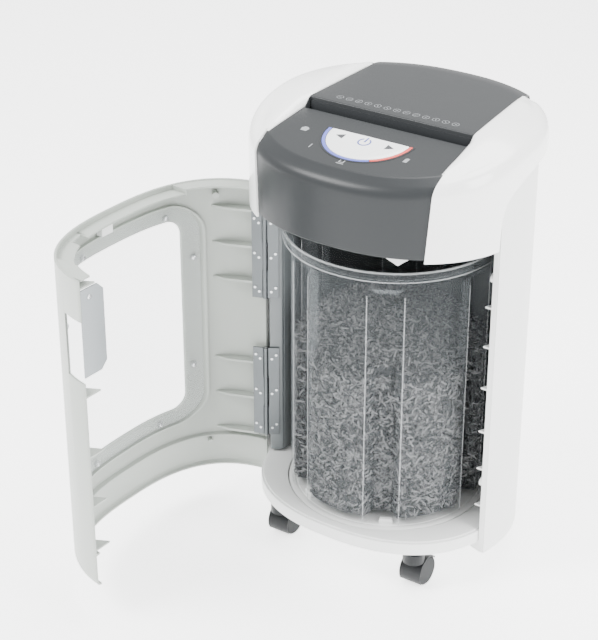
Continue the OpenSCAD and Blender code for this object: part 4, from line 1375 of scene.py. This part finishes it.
class SHREDDER_OT_clippings(bpy.types.Operator):
    """Heap of thousands of cross-cut paper clippings"""

    bl_idname = "shredder.clippings"
    bl_label = "Clippings"

    def heap_z(self, r, t=0.0):
        """Height of the heap's surface at a distance from the middle."""
        q = r / size("bin_radius")
        return size("heap_top") + 2 - 62 * q ** 1.9 + 3.0 * np.sin(5 * t + 7 * q) * q

    def execute(self, context):
        rng = np.random.default_rng(7)
        deg = np.arange(0, 360, 3.0)
        t = np.radians(deg)
        rows = []
        for z in (91.5, 100, 160, 220, 262, 284):
            r = bin_radius_at(deg, z, 6.5)
            rows.append(np.stack([r * np.cos(t), r * np.sin(t), z + 0 * t], 1))
        for q in (0.97, 0.85, 0.65, 0.45, 0.25, 0.08, 0.01):
            r = bin_radius_at(deg, 300, 6.5) * q
            rows.append(np.stack([r * np.cos(t), r * np.sin(t), self.heap_z(r, t) - 5], 1))
        p = np.array(rows)
        p[1:-1] += rng.normal(0, 0.8, p[1:-1].shape)
        n = len(deg)
        v, f = p.reshape(-1, 3), grid_faces(p.shape[0], n, False, True)
        f.append(tuple(range(n)))
        f.append(tuple((p.shape[0] - 1) * n + i for i in range(n))[::-1])
        # the core's finish is painted deep shade, so the gaps between the loose strips read dark
        make("clippings_core", v, f, "packed_paper", "bin", "shredded_paper", ("paper_clippings",), 30)

        # strips on the wall and on the dome
        count = 15500
        on_wall = int(count * 0.66)
        ang = rng.uniform(0, 360, count)
        centre = np.zeros((count, 3))
        normal = np.zeros((count, 3))
        for i in range(count):
            q = math.radians(ang[i])
            if i < on_wall:
                z = rng.uniform(95, 296)
                r = float(bin_radius_at(ang[i], z, 4.6)) - abs(rng.normal(0, 1.3))
                centre[i] = (r * math.cos(q), r * math.sin(q), z)
                normal[i] = (math.cos(q), math.sin(q), rng.normal(0, 0.2))
            else:
                r = 128 * math.sqrt(rng.uniform(0, 1))
                r = min(r, float(bin_radius_at(ang[i], 330, 6)))
                centre[i] = (
                    r * math.cos(q), r * math.sin(q), self.heap_z(r, q) - 2.5 + abs(rng.normal(0, 2.6))
                )
                normal[i] = (rng.normal(0, 0.45), rng.normal(0, 0.45), 1)
        normal /= np.linalg.norm(normal, axis=1, keepdims=True)
        rand = rng.normal(0, 1, (count, 3))
        along = rand - normal * np.sum(rand * normal, 1, keepdims=True)
        along /= np.linalg.norm(along, axis=1, keepdims=True)
        tilt = rng.normal(0, 0.30, (count, 1))
        along = along + normal * tilt * np.where(np.arange(count)[:, None] < on_wall, 0.35, 1.0)
        along /= np.linalg.norm(along, axis=1, keepdims=True)
        side = np.cross(normal, along)
        side /= np.linalg.norm(side, axis=1, keepdims=True)
        up = np.cross(along, side)
        half = size("clip_length") / 2 * rng.uniform(0.55, 1.15, (count, 1))
        wide = size("clip_width") / 2 * rng.uniform(0.8, 1.15, (count, 1))
        bend = rng.normal(0, 1.6, (count, 1))
        twist = rng.normal(0, 0.35, (count, 1))
        thick = 0.16
        rings = []
        for s in (-1.0, -0.35, 0.35, 1.0):
            mid = centre + along * half * s + up * bend * (s * s - 0.4)
            sd = side * np.cos(twist * s) + up * np.sin(twist * s)
            u2 = up * np.cos(twist * s) - side * np.sin(twist * s)
            for a, b in ((-1, -1), (1, -1), (1, 1), (-1, 1)):
                rings.append(mid + sd * wide * a + u2 * thick * b)
        pts = np.array(rings).transpose(1, 0, 2)
        # nothing reaches through the bin's wall
        rad = np.hypot(pts[..., 0], pts[..., 1])
        dg = np.degrees(np.arctan2(pts[..., 1], pts[..., 0]))
        lim = bin_radius_at(dg, pts[..., 2], 3.2)
        k = np.minimum(1, lim / np.maximum(rad, 1e-6))
        pts[..., 0] *= k
        pts[..., 1] *= k
        one = [(3, 2, 1, 0), (12, 13, 14, 15)]
        for s in range(3):
            for j in range(4):
                a, b = s * 4 + j, s * 4 + (j + 1) % 4
                one.append((a, b, b + 4, a + 4))
        one = np.array(one)
        faces = (one[None] + 16 * np.arange(count)[:, None, None]).reshape(-1, 4)
        me = bpy.data.meshes.new("clippings_loose")
        me.from_pydata((pts.reshape(-1, 3) / 1000).tolist(), [], faces.tolist())
        me.materials.append(finish("shredded_paper"))
        ob = bpy.data.objects.new("clippings_loose", me)
        context.scene.collection.objects.link(ob)
        tone = np.clip(rng.normal(0.34, 0.34, count), 0.02, 1.0)
        bright = rng.uniform(0, 1, count) < 0.22
        tone[bright] = rng.uniform(0.7, 1.1, bright.sum())
        self.tones(ob, np.repeat(tone, 14))
        keep_sharp(me, 40)
        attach(ob, "bin")
        return {"FINISHED"}

    def tones(self, ob, value):
        """Stores one tone for each face."""
        base = np.array(colour("paper")[:3])
        att = ob.data.color_attributes.new("tone", "FLOAT_COLOR", "CORNER")
        loops = np.zeros(len(ob.data.polygons), int)
        ob.data.polygons.foreach_get("loop_total", loops)
        rgb = np.outer(np.repeat(value, loops), base)
        rgba = np.concatenate([rgb, np.ones((len(rgb), 1))], 1)
        att.data.foreach_set("color", rgba.reshape(-1))


# ---- nodes that stay as they are ----


class SHREDDER_OT_mechanism(bpy.types.Operator):
    """Finishes for the cutting block, drive, hinges, back panel and electrical pieces"""

    bl_idname = "shredder.mechanism"
    bl_label = "Mechanism finishes"

    def execute(self, context):
        repaint("cabinet_white", "back_panel", "interlock_striker")
        repaint("chassis_black", "head_chassis", "stripper_combs", "mains_inlet", "switch_frame")
        repaint(
            "plate_steel", "cutter_plate_left", "cutter_plate_right", "tie_rods", "gear_stub", "hinge_pins"
        )
        repaint("bronze", "cutter_bearings")
        repaint("motor_enamel", "drive_motor")
        repaint("hinge_steel", "body_hinge_leaves", "door_hinge_leaves")
        repaint("screw_steel", "body_hinge_screws", "door_hinge_screws")
        repaint("cutter_steel", "cutter_front", "cutter_rear", "motor_pinion")
        repaint("gear_nylon", "intermediate_gear")
        repaint("rocker_black", "mains_rocker")
        repaint("board_green", "control_board")
        return {"FINISHED"}


class SHREDDER_OT_castors(bpy.types.Operator):
    """Finishes and soft edges of the four castors"""

    bl_idname = "shredder.castors"
    bl_label = "Castors"

    def execute(self, context):
        for c in ("front_left", "front_right", "rear_left", "rear_right"):
            repaint("castor_black", "castor_hood_" + c)
            repaint("castor_wheel", "castor_wheels_" + c)
            soften(0.8, "castor_hood_" + c, "castor_wheels_" + c)
        return {"FINISHED"}


class SHREDDER_OT_stage(bpy.types.Operator):
    """Pale floor, soft studio light and the camera"""

    bl_idname = "shredder.stage"
    bl_label = "Stage"

    def execute(self, context):
        scene = context.scene
        n = 40
        x = np.linspace(-3.0, 3.0, n)
        gx, gy = np.meshgrid(x, x)
        me = bpy.data.meshes.new("floor")
        me.from_pydata(np.stack([gx, gy, 0 * gx], 2).reshape(-1, 3).tolist(), [], grid_faces(n, n))
        me.materials.append(finish("floor_pale"))
        floor = bpy.data.objects.new("floor", me)
        scene.collection.objects.link(floor)
        world = bpy.data.worlds.new("studio")
        world.use_nodes = True
        world.node_tree.nodes["Background"].inputs["Color"].default_value = (1.0, 1.0, 1.0, 1)
        world.node_tree.nodes["Background"].inputs["Strength"].default_value = 1.9
        scene.world = world

        def lamp(name, at, look, wide, power, tone=(1, 1, 1)):
            data = bpy.data.lights.new(name, "AREA")
            data.shape = "RECTANGLE"
            data.size, data.size_y = wide
            data.energy = power
            data.color = tone
            ob = bpy.data.objects.new(name, data)
            ob.location = at
            ob.rotation_euler = (Vector(look) - Vector(at)).to_track_quat("-Z", "Y").to_euler()
            scene.collection.objects.link(ob)

        lamp("key", (-1.3, -1.6, 2.3), (0, 0, 0.35), (1.2, 1.0), 105)
        lamp("right", (1.9, -0.2, 1.2), (0, 0, 0.35), (0.7, 1.6), 52)
        lamp("top", (0.1, 0.6, 2.4), (0, 0, 0.5), (1.6, 1.2), 60)
        data = bpy.data.cameras.new("camera")
        data.sensor_fit = "AUTO"
        data.sensor_width = 36
        data.lens = 101.23
        cam = bpy.data.objects.new("camera", data)
        cam.location = (1.0738, -1.8177, 1.4372)
        cam.rotation_euler = (math.radians(62.09), 0, math.radians(33.92))
        scene.collection.objects.link(cam)
        scene.camera = cam
        return {"FINISHED"}


PIECES = (
    SHREDDER_OT_stage,
    SHREDDER_OT_head_shell,
    SHREDDER_OT_slot_walls,
    SHREDDER_OT_covers,
    SHREDDER_OT_controls,
    SHREDDER_OT_catch,
    SHREDDER_OT_side_panels,
    SHREDDER_OT_base,
    SHREDDER_OT_column,
    SHREDDER_OT_door,
    SHREDDER_OT_window,
    SHREDDER_OT_bin,
    SHREDDER_OT_clippings,
    SHREDDER_OT_mechanism,
    SHREDDER_OT_castors,
)


class SHREDDER_PT_panel(bpy.types.Panel):
    """Lists the shredder's pieces, sizes and colours"""

    bl_label = "Paper Shredder"
    bl_idname = "SHREDDER_PT_panel"
    bl_space_type = "VIEW_3D"
    bl_region_type = "UI"
    bl_category = "Shredder"

    def draw(self, context):
        col = self.layout.column()
        for op in PIECES:
            col.operator(op.bl_idname)
        for group in (context.scene.shredder_sizes, context.scene.shredder_colours):
            box = self.layout.box()
            for name in group.__annotations__:
                box.prop(group, name)


CLASSES = (ShredderSizes, ShredderColours) + PIECES + (SHREDDER_PT_panel,)


def register():
    for c in CLASSES:
        bpy.utils.register_class(c)
    bpy.types.Scene.shredder_sizes = bpy.props.PointerProperty(type=ShredderSizes)
    bpy.types.Scene.shredder_colours = bpy.props.PointerProperty(type=ShredderColours)


def unregister():
    del bpy.types.Scene.shredder_colours
    del bpy.types.Scene.shredder_sizes
    for c in reversed(CLASSES):
        bpy.utils.unregister_class(c)


def main():
    register()
    for op in PIECES:
        group, name = op.bl_idname.split(".")
        getattr(getattr(bpy.ops, group), name)()


if __name__ == "__main__":
    main()
